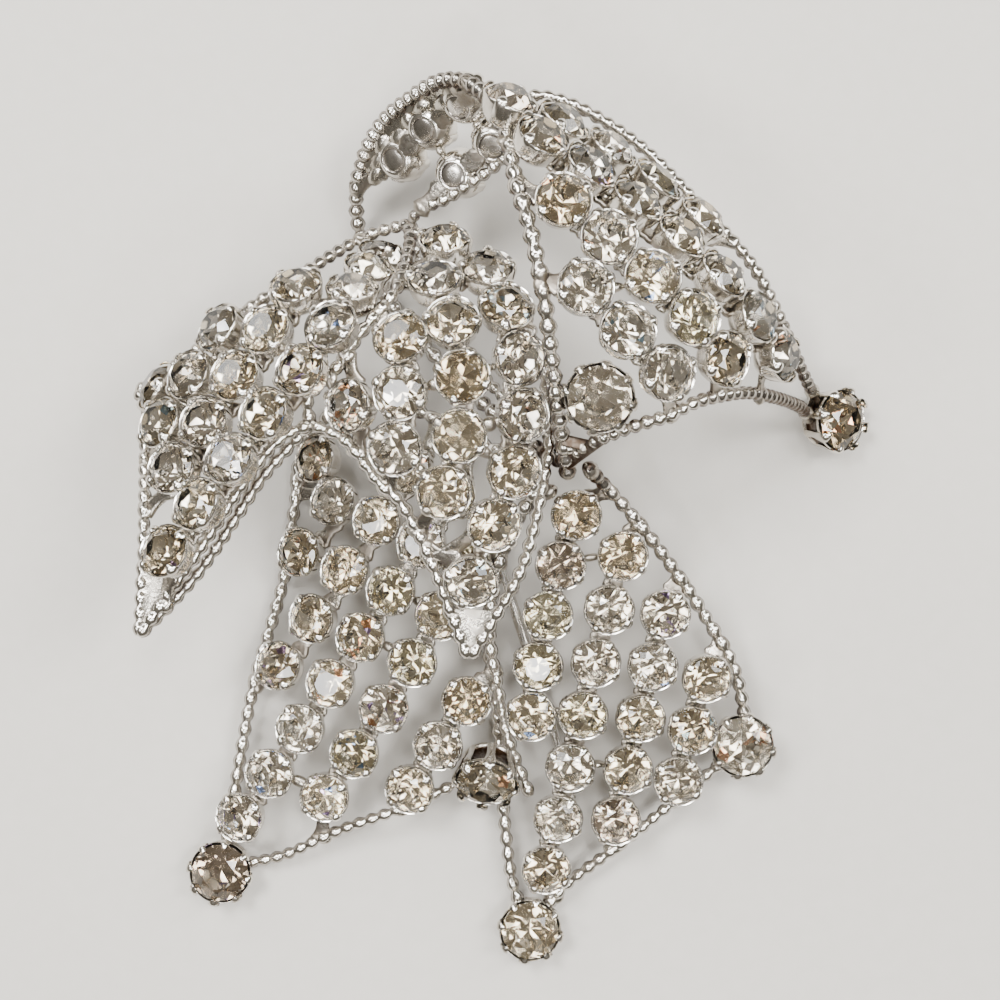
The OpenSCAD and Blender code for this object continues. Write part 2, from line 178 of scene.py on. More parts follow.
def rounded_section(sides: int, power: float) -> tuple[Floats, Floats]:
    """Points of a rounded square, each from -1 to 1 across and up.

    The cosine and the sine of each point's angle are raised to a power below one and keep
    their sign, which squares the circle off.

    Args:
        sides: Number of points.
        power: The power; the smaller it is, the sharper are the corners.

    Returns:
        The points' places across, and their places up.
    """
    angle = (np.arange(sides) + 0.5) * 2 * np.pi / sides
    across, up = np.cos(angle), np.sin(angle)
    return np.sign(across) * np.abs(across) ** power, np.sign(up) * np.abs(up) ** power


# Places and skins


@dataclass(frozen=True)
class Places:
    """Where copies of a shape go: a point, the shape's own z and its own x for each copy."""

    points: Floats
    normals: Floats
    ways: Floats

    def sides(self) -> Floats:
        """The copies' own y."""
        return np.cross(self.normals, self.ways)

    def leaning(self, rng: np.random.Generator, degrees: float) -> "Places":
        """The same places with each normal leaning a little, as hand-set cups do.

        The lean along and the lean across are bell-shaped chances, cut off at 1.6 times
        the typical lean.

        Args:
            rng: Source of the seeded chance.
            degrees: Typical lean.

        Returns:
            New places with the same points.
        """
        most = 1.6
        lean = np.radians(degrees) * rng.standard_normal((len(self.points), 2)).clip(-most, most)
        normals = unit(self.normals + self.ways * lean[:, :1] + self.sides() * lean[:, 1:])
        ways = unit(self.ways - normals * np.sum(self.ways * normals, 1)[:, None])
        return Places(self.points, normals, ways)

    def spun(self, rng: np.random.Generator) -> "Places":
        """The same places, each turned about its normal by chance."""
        turn = rng.uniform(0, 2 * np.pi, len(self.points))[:, None]
        return Places(self.points, self.normals, self.ways * np.cos(turn) + self.sides() * np.sin(turn))


def joined_places(parts: list[Places]) -> Places:
    """Several sets of places as one.

    Args:
        parts: The sets, in order.

    Returns:
        One set that holds them all.
    """
    return Places(
        np.concatenate([p.points for p in parts]),
        np.concatenate([p.normals for p in parts]),
        np.concatenate([p.ways for p in parts]),
    )


@dataclass(frozen=True)
class Skin:
    """A surface as points and faces, with a tone on every corner and a finish on every face.

    The tone's first number is tarnish and painted shade on metal; on stones its three numbers are the tint,
    or a painted glint's colour on a few facets.
    """

    points: Floats
    corners: Ints
    sizes: Ints
    tone: Floats
    finish: Ints
    smooth: npt.NDArray[np.bool_]

    def copied(self, places: Places) -> "Skin":
        """One copy at each place.

        A point (x, y, z) goes to the place's point plus x times its way, y times its side
        and z times its normal.

        Args:
            places: Where the copies go.

        Returns:
            One skin that holds all the copies.
        """
        axes = np.stack([places.ways, places.sides(), places.normals], axis=1)
        points = (places.points[:, None, :] + np.einsum("pk,ckd->cpd", self.points, axes)).reshape(-1, 3)
        n = len(places.points)
        corners = (self.corners[None, :] + np.arange(n)[:, None] * len(self.points)).reshape(-1)
        return Skin(
            points,
            corners,
            np.tile(self.sizes, n),
            np.tile(self.tone, (n, 1)),
            np.tile(self.finish, n),
            np.tile(self.smooth, n),
        )

    def tarnished_and_shaded(self, spots: Floats) -> "Skin":
        """The same skin with tarnish and painted shade added round some spots.

        The tarnish and painted shade added at a point is the spot's strength times the bell curve of its
        distance over the spot's reach.

        Args:
            spots: Columns x, y, z, reach, strength.

        Returns:
            The stained skin.
        """
        away = np.linalg.norm(self.points[:, None, :] - spots[None, :, :3], axis=2)
        more = np.sum(spots[:, 4] * np.exp(-((away / spots[:, 3]) ** 2)), axis=1)
        tone = self.tone.copy()
        tone[:, 0] = np.clip(tone[:, 0] + more[self.corners], 0, 1)
        return replace(self, tone=tone)


def joined(skins: list[Skin]) -> Skin:
    """Several skins as one.

    Args:
        skins: The skins, in order.

    Returns:
        One skin that holds them all.
    """
    starts = np.cumsum([0] + [len(s.points) for s in skins])[:-1]
    return Skin(
        np.concatenate([s.points for s in skins]),
        np.concatenate([s.corners + k for s, k in zip(skins, starts)]),
        np.concatenate([s.sizes for s in skins]),
        np.concatenate([s.tone for s in skins]),
        np.concatenate([s.finish for s in skins]),
        np.concatenate([s.smooth for s in skins]),
    )


def ringed_skin(rings: Floats, tarnish_and_shade: Floats, finish: Finish = Finish.PLATING) -> Skin:
    """A closed skin over rings of points, with a pole in the middle of each end.

    Quads join each ring to the next; a fan joins the first and the last ring to the mean
    of their points. The points turn right-handed about the way from ring to ring.

    Args:
        rings: Points as ring, place round the ring, x, y, z.
        tarnish_and_shade: Tarnish and painted shade from 0 to 1 of each ring, or of each point of each ring.
        finish: What the skin is made of.

    Returns:
        The skin, over which light runs smoothly from face to face.
    """
    n, m = rings.shape[:2]
    points = np.concatenate([rings.reshape(-1, 3), rings[:1].mean(1), rings[-1:].mean(1)])
    here = np.arange(m)
    after = (here + 1) % m
    base = (np.arange(n - 1) * m)[:, None]
    quads = np.stack([base + here, base + after, base + m + after, base + m + here], axis=2).reshape(-1)
    first = np.stack([np.full(m, n * m), after, here], axis=1).reshape(-1)
    last = np.stack([np.full(m, n * m + 1), (n - 1) * m + here, (n - 1) * m + after], axis=1).reshape(-1)
    corners = np.concatenate([quads, first, last])
    sizes = np.concatenate([np.full((n - 1) * m, 4), np.full(2 * m, 3)])
    spread = np.broadcast_to(tarnish_and_shade.reshape(n, -1), (n, m))
    by_point = np.concatenate([spread.reshape(-1), spread[:1].mean(1), spread[-1:].mean(1)])
    tone = np.zeros((len(corners), 3))
    tone[:, 0] = by_point[corners]
    made_of = np.full(len(sizes), finish.value)
    return Skin(points, corners, sizes, tone, made_of, np.full(len(sizes), True))


def path_axes(path: Floats) -> tuple[Floats, Floats, Floats]:
    """Three directions at each point of a path.

    The tangent is the step between the two neighbours. The reference is the direction that
    the whole path keeps away from most, so that it is never along the path; the first axis
    is the reference made square to the tangent, and the second is square to both.

    Args:
        path: Points, one a row.

    Returns:
        Tangents, first axes and second axes.
    """
    tangents = unit(np.gradient(path, axis=0))
    reference = np.linalg.eigh(tangents.T @ tangents)[1][:, 0]
    first = unit(reference - tangents * (tangents @ reference)[:, None])
    return tangents, first, np.cross(tangents, first)


# Shapes that repeat


@dataclass(frozen=True)
class BeadForm:
    """How the edge wires are pressed into round beads."""

    # Rings along a bead, and points round it
    steps: int = 6
    sides: int = 10
    # Radius of the neck between two beads as a share of the bead's, and radius in
    # millimetres of the wire's cut ends
    neck: float = 0.62
    cut_end: float = 0.3
    # Typical difference between the beads' sizes, and the smallest and the largest size, as
    # shares of the wire's own
    spread: float = 0.03
    limits: tuple[float, float] = (0.93, 1.03)
    # Length in millimetres over which the beads come from the end's size to full size
    run_in: float = 6.0
    # How high a bead's middle stays above the table, as a share of its diameter
    clearance: float = 0.54
    # Tarnish and painted shade in a neck and right beside it
    neck_tarnish_and_shade: float = 0.5
    shoulder: float = 0.6
    shoulder_tarnish_and_shade: float = 0.12
    # Painted shade on a bead's side: it starts where the side faces up less than this, and grows
    # at this rate up to its most
    painted_shade_start: float = 0.98
    painted_shade_rate: float = 1.5
    painted_shade_most: float = 0.95
    # Points at which the wire's own directions are worked out
    samples: int = 240

    def skin(self, path: Floats, diameter: float, pitch: Floats, ends: tuple[float, float],
             rng: np.random.Generator) -> Skin:
        """A wire pressed into a row of round beads.

        The beads are counted along the path as the sum of each step over the pitch there.
        Along one bead the place goes as half of one minus the cosine and the radius as the
        sine of the same angle, which is an ellipse; it never falls under the neck between
        two beads. Each bead is a few per cent larger or smaller than the next. The necks
        carry tarnish and painted shade, and a bead's side carries painted shade, the more the
        less it faces up. No bead goes below the table.

        Args:
            path: Middle of the wire, closely spaced points.
            diameter: Diameter of a bead.
            pitch: Distance from bead to bead at each point of the path.
            ends: Size of the first and the last bead, as shares.
            rng: Source of the seeded chance.

        Returns:
            The wire's skin, closed at both ends.
        """
        run = lengths_along(path)
        total = run[-1]
        counted = np.append(0.0, np.cumsum(np.diff(run) / pitch[1:]))
        beads = max(2, round(float(counted[-1])))
        turn = np.arange(self.steps) * np.pi / self.steps
        share = (np.arange(beads)[:, None] + (1 - np.cos(turn)) / 2).reshape(-1) / beads
        where = np.interp(share * counted[-1], counted, run)
        size = diameter / 2 * (1 + self.spread * rng.standard_normal(beads)).clip(*self.limits)
        full_from = [0, self.run_in, total - self.run_in, total]
        size *= np.interp(np.linspace(0, total, beads), full_from, [ends[0], 1, 1, ends[1]])
        radius = (size[:, None] * np.maximum(np.sin(turn), self.neck)).reshape(-1)
        where, radius = np.append(where, total), np.append(radius, self.cut_end)
        radius[0] = self.cut_end
        middle = at_lengths(path, where)
        middle[:, 2] = np.maximum(middle[:, 2], diameter * self.clearance)
        even = np.linspace(0, total, self.samples)
        _, first, second = path_axes(at_lengths(path, even))
        first = unit(np.stack([np.interp(where, even, first[:, k]) for k in range(3)], axis=1))
        second = unit(np.stack([np.interp(where, even, second[:, k]) for k in range(3)], axis=1))
        circle = around(np.arange(self.sides) * 2 * np.pi / self.sides, first, second)
        rings = middle[:, None, :] + radius[:, None, None] * circle
        beside = np.where(np.sin(turn) < self.shoulder, self.shoulder_tarnish_and_shade, 0.0)
        necks = np.append(np.tile(np.where(turn == 0, self.neck_tarnish_and_shade, beside), beads), 0.0)
        necks[0] = 0.0
        # Painted shade on each bead's side, the darker the less it faces up
        facing = (rings - middle[:, None, :]) @ UP / radius[:, None]
        side = np.clip((self.painted_shade_start - facing) * self.painted_shade_rate, 0, self.painted_shade_most)
        return ringed_skin(rings, np.maximum(necks[:, None], side))


def plain_wire(path: Floats, diameter: Floats, finish: Finish, sides: int = 12) -> Skin:
    """A smooth round wire: a circle square to the path, carried along it.

    Args:
        path: Middle of the wire.
        diameter: Its diameter at each point.
        finish: What it is made of.
        sides: Points round it.

    Returns:
        The wire's skin, closed at both ends.
    """
    tarnish_and_shade = 0.1
    _, first, second = path_axes(path)
    circle = around(np.arange(sides) * 2 * np.pi / sides, first, second)
    rings = path[:, None, :] + diameter[:, None, None] / 2 * circle
    return ringed_skin(rings, np.full(len(path), tarnish_and_shade), finish)


def flat_strip(path: Floats, normals: Floats, half_width: Floats, half_height: Floats,
               tarnish_and_shade: float = 0.55) -> Skin:
    """A flat strip: a rounded square, stretched to the strip's size and carried along a path.

    Args:
        path: Middle of the strip.
        normals: The strip's upward direction at each point.
        half_width: Half its width at each point.
        half_height: Half its height at each point.
        tarnish_and_shade: How dull and dark it is, from 0 to 1; on the knot's straps the dark is partly
            painted shade.

    Returns:
        The strip's skin, closed at both ends.
    """
    tangents = unit(np.gradient(path, axis=0))
    side = unit(np.cross(normals, tangents))
    up = np.cross(tangents, side)
    flat, high = rounded_section(sides=12, power=0.4)
    rings = (
        path[:, None, :]
        + side[:, None, :] * (half_width[:, None] * flat)[:, :, None]
        + up[:, None, :] * (half_height[:, None] * high)[:, :, None]
    )
    return ringed_skin(rings, np.full(len(path), tarnish_and_shade), Finish.SOLDER)


def solder_drop(middle: Floats, way: Floats, normal: Floats, size: Triple,
                rng: np.random.Generator) -> Skin:
    """A drop of solder that has run round a joint.

    An ellipsoid whose radius swells and shrinks by a tenth with two waves round its long
    axis, and by a little less with a wave and a half along it.

    Args:
        middle: Its middle.
        way: Direction of its length.
        normal: Direction of its height.
        size: Half its length, width and height.
        rng: Source of the seeded chance.

    Returns:
        The drop's skin.
    """
    rings_along, sides = 8, 12
    # How far from the poles the first and the last ring lie, in radians
    blunt = 0.12
    full_turn, tarnish_and_shade = 6.28, 0.12
    lat = np.linspace(blunt, np.pi - blunt, rings_along)[:, None]
    lon = (np.arange(sides) * 2 * np.pi / sides)[None, :]
    phase = rng.uniform(0, full_turn, 3)
    swell = 1 + 0.1 * np.sin(2 * lon + phase[0]) * np.sin(lat) + 0.08 * np.sin(3 * lat + phase[1])
    side = np.cross(normal, way)
    rings = middle + (
        -way * (np.cos(lat) * swell * size[0])[:, :, None]
        + side * (np.sin(lat) * np.cos(lon) * swell * size[1])[:, :, None]
        + normal * (np.sin(lat) * np.sin(lon) * swell * size[2])[:, :, None]
    )
    return ringed_skin(rings, np.full(rings_along, tarnish_and_shade), Finish.SOLDER)


def prong(line: Floats, width: Floats, thick: Floats, angle: float) -> Skin:
    """A prong: a tapered tongue that stands at one angle of a cup and bends over the stone.

    A six-sided flat section is carried along a line of radius and height.

    Args:
        line: Columns radius and height of the tongue's middle.
        width: Its width at each point.
        thick: Its thickness at each point.
        angle: Where it stands round the cup, in radians.

    Returns:
        The prong's skin.
    """
    out = np.array([np.cos(angle), np.sin(angle), 0.0])
    side = np.array([-np.sin(angle), np.cos(angle), 0.0])
    step = unit(np.gradient(line, axis=0))
    face = -step[:, 1:] * out + step[:, :1] * UP
    turn = np.arange(6) * np.pi / 3
    # The sine of a hexagon's corners, which would otherwise make the tongue too thin
    corner = 0.866
    rings = (
        (line[:, :1] * out + line[:, 1:] * UP)[:, None, :]
        + face[:, None, :] * (thick[:, None] / 2 * np.sin(turn) / corner)[:, :, None]
        + side * (width[:, None] / 2 * np.cos(turn))[:, :, None]
    )
    return ringed_skin(rings, np.zeros(len(line)))


@dataclass(frozen=True)
class CupForm:
    """The sizes of a stone's cup, in its own frame: the stone's edge is at z = 0."""

    # Columns radius, height, tarnish and painted shade, from the middle of the back over the lip to the inner
    # middle
    profile: Floats
    # Columns radius, height, width, thickness of a prong's middle line
    tongue: Floats
    prongs: int
    first_prong: float
    sides: int

    def skin(self) -> Skin:
        """The cup's profile turned about its axis, with its prongs evenly round it.

        Returns:
            One skin of the cup's wall and its prongs.
        """
        turn = np.arange(self.sides) * 2 * np.pi / self.sides
        circle = np.stack([np.cos(turn), np.sin(turn), np.zeros(self.sides)], axis=1)
        rings = self.profile[:, None, :1] * circle[None] + self.profile[:, None, 1:2] * UP
        steps = np.arange(len(self.tongue) * 2 - 1) / 2
        flesh = smooth_curve(self.tongue, steps)
        angles = np.radians(self.first_prong) + np.arange(self.prongs) * 2 * np.pi / self.prongs
        tongues = [prong(flesh[:, :2], flesh[:, 2], flesh[:, 3], float(a)) for a in angles]
        return joined([ringed_skin(rings, self.profile[:, 2]), *tongues])


@dataclass(frozen=True)
class StoneCut:
    """The sizes of a foiled stone: its edge is at z = 0, its crown above and its point below."""

    diameter: float
    crown: float
    depth: float
    # Radius of the table's corners and of the crown's middle ring, as shares
    table_share: float = 0.56
    middle_share: float = 0.77
    # Thickness of the edge below z = 0, and the share of it that lies above
    edge: float = 0.05
    edge_above: float = 0.2

    def skin(self) -> Skin:
        """The stone's facets, flat and sharp.

        Eight table corners lie at odd half-steps; the crown's middle ring lies where a
        flat kite from a table corner to the edge passes it; the edge has sixteen corners.
        The pavilion has eight flat facets to the point, so its side of the edge is wavy:
        every second corner stands where a facet's plane meets the stone's full width.

        Returns:
            A closed skin: crown and edge are glass, the pavilion is foil.
        """
        r, k = self.diameter / 2, np.arange(8)
        half = np.cos(np.pi / 8)
        middle_r = self.middle_share * r
        wave = (self.depth - self.edge) * (1 / half - 1)
        rim_z = self.edge * self.edge_above + wave
        fall = (middle_r * half - self.table_share * r) / (r * (1 - self.table_share))
        middle_z = self.crown - fall * (self.crown - self.edge * self.edge_above - wave)

        def ring(radius: float, z: float, angles: Floats) -> Floats:
            """Corners at one radius and height."""
            height = np.full(len(angles), z)
            return np.stack([radius * np.cos(angles), radius * np.sin(angles), height], axis=1)

        odd, even = (k + 0.5) * np.pi / 4, k * np.pi / 4
        sixteen = np.arange(16) * np.pi / 8
        points = np.concatenate([
            ring(self.table_share * r, self.crown, odd),
            ring(middle_r, middle_z, even),
            ring(r, rim_z, sixteen),
            ring(r, -self.edge, sixteen) + np.outer(np.arange(16) % 2, UP * wave),
            np.array([[0.0, 0.0, -self.depth]]),
        ])
        after, before = (k + 1) % 8, (k - 1) % 8
        # Numbers of the corners: table, middle ring, upper edge, lower edge and the point
        table, middle, top, low, point = k, 8 + k, 16, 32, 48
        e = np.arange(16)
        faces = [
            table[None, :],
            np.stack([before, middle, table], 1),
            np.stack([table, middle, top + 2 * k + 1, 8 + after], 1),
            np.stack([middle, top + 2 * k, top + 2 * k + 1], 1),
            np.stack([middle, top + (2 * k - 1) % 16, top + 2 * k], 1),
            np.stack([low + e, low + (e + 1) % 16, top + (e + 1) % 16, top + e], 1),
            np.stack([np.full(8, point), low + 2 * after, low + 2 * k + 1, low + 2 * k], 1),
        ]
        sizes = np.concatenate([np.full(len(f), f.shape[1]) for f in faces])
        corners = np.concatenate([f.reshape(-1) for f in faces])
        finish = np.full(len(sizes), Finish.CROWN_GLASS.value)
        finish[-len(faces[-1]):] = Finish.FOIL.value
        white = np.ones((len(corners), 3))
        return Skin(points, corners, sizes, white, finish, np.full(len(sizes), False))


def srgb(code: str) -> Floats:
    """A hex colour as linear red, green and blue.

    Each part divided by 255 is divided by 12.92 where it is 0.04045 or less, and otherwise
    is that part plus 0.055, over 1.055, raised to 2.4.

    Args:
        code: A number sign and six hex digits.

    Returns:
        The three linear parts, from 0 to 1.
    """
    parts = np.array([int(code[i : i + 2], 16) for i in (1, 3, 5)]) / 255
    return np.where(parts <= 0.04045, parts / 12.92, ((parts + 0.055) / 1.055) ** 2.4)


# Sheets of stones

# A bend that no part of a sheet reaches, at its low and at its high end
FLAT_LOW = (-99.0, 0.0)
FLAT_HIGH = (99.0, 0.0)


@dataclass(frozen=True)
class Sheet:
    """A smooth sheet through the edges of its stones.

    Its height is a plane less the square of how far a point lies beyond the start of each
    bend, times that bend's strength.
    """

    x: float
    y: float
    turn: float
    height: float
    slopes: tuple[float, float]
    # Start and strength of the bend at the low end along, the high end along, the low side
    # across and the high side across
    bends: tuple[tuple[float, float], ...]

    def own(self, xy: Floats) -> tuple[Floats, Floats]:
        """Distances along and across the sheet's own directions.

        Args:
            xy: Points, columns x and y.

        Returns:
            Distance along and distance across of each point.
        """
        c, s = np.cos(np.radians(self.turn)), np.sin(np.radians(self.turn))
        dx, dy = xy[:, 0] - self.x, xy[:, 1] - self.y
        return dx * c + dy * s, dy * c - dx * s

    def beyond(self, xy: Floats) -> list[Floats]:
        """How far points lie beyond the start of each of the four bends.

        Args:
            xy: Points, columns x and y.

        Returns:
            For each bend, the distance of each point, or 0 short of the bend.
        """
        a, b = self.own(xy)
        low_a, high_a, low_b, high_b = (start for start, _ in self.bends)
        return [np.maximum(w, 0) for w in (low_a - a, a - high_a, low_b - b, b - high_b)]

    def points(self, xy: Floats) -> Floats:
        """Points of the sheet over x and y.

        Args:
            xy: Columns x and y.

        Returns:
            Columns x, y and z.
        """
        a, b = self.own(xy)
        z = self.height + self.slopes[0] * a + self.slopes[1] * b
        for way, (_, strength) in zip(self.beyond(xy), self.bends):
            z = z - strength * way**2
        return np.column_stack([xy, z])

    def normals(self, xy: Floats) -> Floats:
        """Upward normals of the sheet, from its slopes along and across.

        The slope of a bend is twice its strength times the distance beyond its start.

        Args:
            xy: Columns x and y.

        Returns:
            One unit vector for each point.
        """
        c, s = np.cos(np.radians(self.turn)), np.sin(np.radians(self.turn))
        w, k = self.beyond(xy), [strength for _, strength in self.bends]
        ga = self.slopes[0] + 2 * k[0] * w[0] - 2 * k[1] * w[1]
        gb = self.slopes[1] + 2 * k[2] * w[2] - 2 * k[3] * w[3]
        return unit(np.column_stack([gb * s - ga * c, -ga * s - gb * c, np.ones(len(xy))]))


@dataclass(frozen=True)
class Row:
    """A row of stones on a sheet, from its first stone to its last."""

    # x and y of the first and of the last stone
    first: tuple[float, float]
    last: tuple[float, float]
    # How far the row's middle stands off the straight line
    bow: float
    stones: int
    # Lengths past the end stones from which its rail looks for a wire; where the second is
    # below zero, the rail ends free after its last cup
    before: float
    after: float

    def line(self, sheet: Sheet, t: Floats) -> Floats:
        """Points of the row: a straight line over x and y, bowed sideways by a parabola.

        Args:
            sheet: The sheet that the row runs over.
            t: Where on the row, from 0 at its first stone to 1 at its last.

        Returns:
            Points of the sheet.
        """
        p, q = np.array(self.first), np.array(self.last)
        side = unit(np.array([p[1] - q[1], q[0] - p[0]]))
        t = t[:, None]
        return sheet.points(p * (1 - t) + q * t + side * self.bow * 4 * t * (1 - t))

    def at(self, sheet: Sheet, lengths: Floats) -> Places:
        """Places at true lengths along the row.

        Args:
            sheet: The sheet that the row runs over.
            lengths: Distances from the first stone.

        Returns:
            Points, normals and the row's direction, made square to the normal.
        """
        steps, past = 24, 6
        t = np.arange(-past, steps + past + 1) / steps
        run = lengths_along(self.line(sheet, t))
        u = np.interp(lengths, run - run[past], t)
        p, q = self.line(sheet, u), self.line(sheet, u + SHORT_STEP)
        n = sheet.normals(p[:, :2])
        return Places(p, n, unit(np.cross(np.cross(n, q - p), n)))

    def total(self, sheet: Sheet) -> float:
        """True length from the first stone to the last."""
        steps = 24
        return float(lengths_along(self.line(sheet, np.arange(steps + 1) / steps))[-1])

    def places(self, sheet: Sheet) -> Places:
        """The stones' places, at equal steps of true length.

        Args:
            sheet: The sheet that the row runs over.

        Returns:
            A place for each stone; a single stone sits in the row's middle.
        """
        total = self.total(sheet)
        several = self.stones > 1
        return self.at(sheet, np.linspace(0, total, self.stones) if several else np.array([total / 2]))


@dataclass(frozen=True)
class Wire:
    """A beaded edge wire through a short table of points: x, y and height of its middle."""

    table: tuple[Triple, ...]
    bead: float = 1.2
    pitch: float = 1.2
    ends: tuple[float, float] = (1.0, 1.0)
    # First and last row of the table between which the beads are squeezed, and their share
    # of the pitch in the middle between them
    squeezed: Triple = (0, 0, 1.0)

    def path(self) -> Floats:
        """The wire's middle line."""
        return dense_curve(np.array(self.table))

    def inner(self) -> Floats:
        """The middle line less a few points at each end, where no rail lands."""
        return self.path()[BARE_POINTS:-BARE_POINTS]

    def at(self, lengths: Floats) -> Floats:
        """Points of the middle line at lengths from its start."""
        return at_lengths(self.path(), lengths)

    def end(self, length: float, points: int = 9) -> Floats:
        """Evenly spaced points over the last stretch of the wire."""
        total = lengths_along(self.path())[-1]
        return self.at(np.linspace(total - length, total, points))

    def pitches(self) -> Floats:
        """The pitch at each point of the path.

        It falls and rises again by the square root of a sine between the two rows.

        Returns:
            One distance for each point.
        """
        first, last, least = self.squeezed
        row = np.linspace(0, len(self.table) - 1, len(self.path()))
        along = np.clip((row - first) / max(last - first, 1), 0, 1)
        return self.pitch * (1 - (1 - least) * np.sin(np.pi * along) ** 0.5)

    def skin(self, rng: np.random.Generator) -> Skin:
        """The wire as a row of beads."""
        return BEADS.skin(self.path(), self.bead, self.pitches(), self.ends, rng)


@dataclass(frozen=True)
class Panel:
    """A sheet with its rows of stones."""

    name: str
    sheet: Sheet
    rows: tuple[Row, ...]

    def places(self) -> Places:
        """The places of all its stones."""
        return joined_places([row.places(self.sheet) for row in self.rows])


@dataclass(frozen=True)
class Seat:
    """A large setting: the middle of its base, its lean in degrees and the way it leans."""

    name: str
    x: float
    y: float
    z: float
    lean: float = 0.0
    towards: float = 0.0
    tint: Tint = Tint.CLEAR
    # From the base to the stone's edge
    height: float = 2.6

    def place(self) -> Places:
        """The place of its stone's edge.

        Returns:
            A single place, turned so that its own x lies level.
        """
        lean, way = np.radians(self.lean), np.radians(self.towards)
        n = np.array([[np.sin(lean) * np.cos(way), np.sin(lean) * np.sin(way), np.cos(lean)]])
        edge = np.array([[self.x, self.y, self.z]]) + n * self.height
        return Places(edge, n, unit(np.cross([[0, 1, 0]], n)))


@dataclass(frozen=True)
class RailForm:
    """The flat strip under a row of cups, with its drops of solder."""

    half_width: float = 0.55
    half_height: float = 0.25
    # Depth of its middle under the stones' edges
    depth: float = 1.8
    # How much wider half of it is under a cup's wall, the wall's distance, and over what length
    cup_flare: Triple = (0.45, 1.85, 0.45)
    # The same at its ends: how much wider, and over what length
    end_flare: tuple[float, float] = (0.35, 0.7)
    # Depth of its ends under a wire's middle, and its length past the last cup with no wire
    sink: float = 0.25
    free_end: float = 1.2
    # Half the size of the drop at each end, and its depth under the wire's middle
    drop: Triple = (0.95, 0.62, 0.5)
    drop_sink: float = 0.1
    # Steps between two cups
    steps: int = 12

    def skins(self, feet: Places, goals: tuple[Floats, Floats | None],
              rng: np.random.Generator) -> list[Skin]:
        """A rail from wire to wire.

        The strip widens by a bell curve at the edge of every cup and at its ends.

        Args:
            feet: The row's places.
            goals: Where it meets the wire before and after the row; None as the second
                leaves that end free.
            rng: Source of the seeded chance.

        Returns:
            The strip and its drops of solder.
        """
        foot = feet.points - feet.normals * self.depth
        before = goals[0] - feet.normals[0] * self.sink
        if goals[1] is None:
            onward = feet.ways[-1] * self.free_end
        else:
            onward = goals[1] - feet.normals[-1] * self.sink - foot[-1]
        knots = np.concatenate([[before], foot, [foot[-1] + onward]])
        path = dense_curve(knots, self.steps)
        up = np.concatenate([feet.normals[:1], feet.normals, feet.normals[-1:]])
        run = lengths_along(path)
        cups = run[self.steps:-self.steps:self.steps]
        gap = np.min(np.abs(run[:, None] - cups[None, :]), axis=1)
        to_end = np.minimum(run, run[-1] - run)
        flare, wall, reach = self.cup_flare
        half = self.half_width + flare * np.exp(-(((gap - wall) / reach) ** 2))
        half = half + self.end_flare[0] * np.exp(-((to_end / self.end_flare[1]) ** 2))
        thick = np.full(len(path), self.half_height)
        out = [flat_strip(path, unit(dense_curve(up, self.steps)), half, thick)]
        # The outward direction at an end is taken over this many steps of the strip
        span = 3
        ends = (
            (goals[0], path[0] - path[span], feet.normals[0]),
            (goals[1], path[-1] - path[-1 - span], feet.normals[-1]),
        )
        for goal, outward, n in ends:
            if goal is not None:
                way = unit(np.cross(n, outward))
                out.append(solder_drop(goal - n * self.drop_sink, way, n, self.drop, rng))
        return out


@dataclass(frozen=True)
class LinkForm:
    """The beads of solder in the narrow gaps between neighbouring cups."""

    # Farthest that two neighbours' middles lie apart
    reach: float = 5.5
    # Depth of a bead under the stones' edges
    depth: float = 1.35
    # What a cup's wall takes of half the distance, and the least half length that is left
    wall: float = 1.9
    least: float = 0.4
    # Range of half its width and of half its height
    widths: tuple[float, float] = (0.35, 0.6)
    heights: tuple[float, float] = (0.35, 0.55)

    def skins(self, places: Places, share: float, rng: np.random.Generator) -> list[Skin]:
        """Beads between cups that stand close.

        Args:
            places: The places of a panel's stones.
            share: Share of the gaps that a bead closes.
            rng: Source of the seeded chance.

        Returns:
            One drop for each gap that is closed.
        """
        step = places.points[None, :, :] - places.points[:, None, :]
        away = np.linalg.norm(step, axis=2)
        near = (away < self.reach) & (rng.uniform(size=away.shape) < share)
        out = []
        for i, k in zip(*np.nonzero(np.triu(near, 1))):
            n = unit(places.normals[i] + places.normals[k])
            way = unit(np.cross(np.cross(n, step[i, k]), n))
            length = max(self.least, float(away[i, k]) / 2 - self.wall)
            size = (length, rng.uniform(*self.widths), rng.uniform(*self.heights))
            middle = (places.points[i] + places.points[k]) / 2 - n * self.depth
            out.append(solder_drop(middle, way, n, size, rng))
        return out


BEADS = BeadForm()
RAIL = RailForm()
LINKS = LinkForm()
# Added to a part's seed for the chance in its metal and in its stones
METAL_CHANCE = 100
STONE_CHANCE = 500
# A large stone adds its own x to the part's seed, counted in tenths of a millimetre
TENTHS = 10
# The profiles' third column darkens the groove on a cup's back and the inside of a cup round its stone:
# tarnish and painted shade
SMALL_CUP = CupForm(
    profile=np.array([
        [0.4, -2.1, 0.4], [0.9, -2.08, 0.45], [1.0, -2.04, 0.9], [1.06, -2.08, 0.8], [1.14, -2.12, 0.1],
        [1.4, -2.02, 0.0], [1.68, -1.78, 0.0], [1.88, -1.48, 0.1], [2.04, -1.05, 0.2], [2.14, -0.5, 0.2],
        [2.2, -0.15, 0.1], [2.24, 0.06, 0.0], [2.18, 0.17, 0.0], [2.03, 0.11, 0.1], [1.9, -0.35, 0.7],
        [0.5, -1.7, 1.0],
    ]),
    tongue=np.array([
        [2.04, -0.95, 0.95, 0.22], [2.22, -0.15, 0.9, 0.26], [2.2, 0.3, 0.84, 0.3], [1.96, 0.52, 0.74, 0.28],
        [1.7, 0.62, 0.34, 0.16],
    ]),
    prongs=4,
    first_prong=67.5,
    sides=24,
)
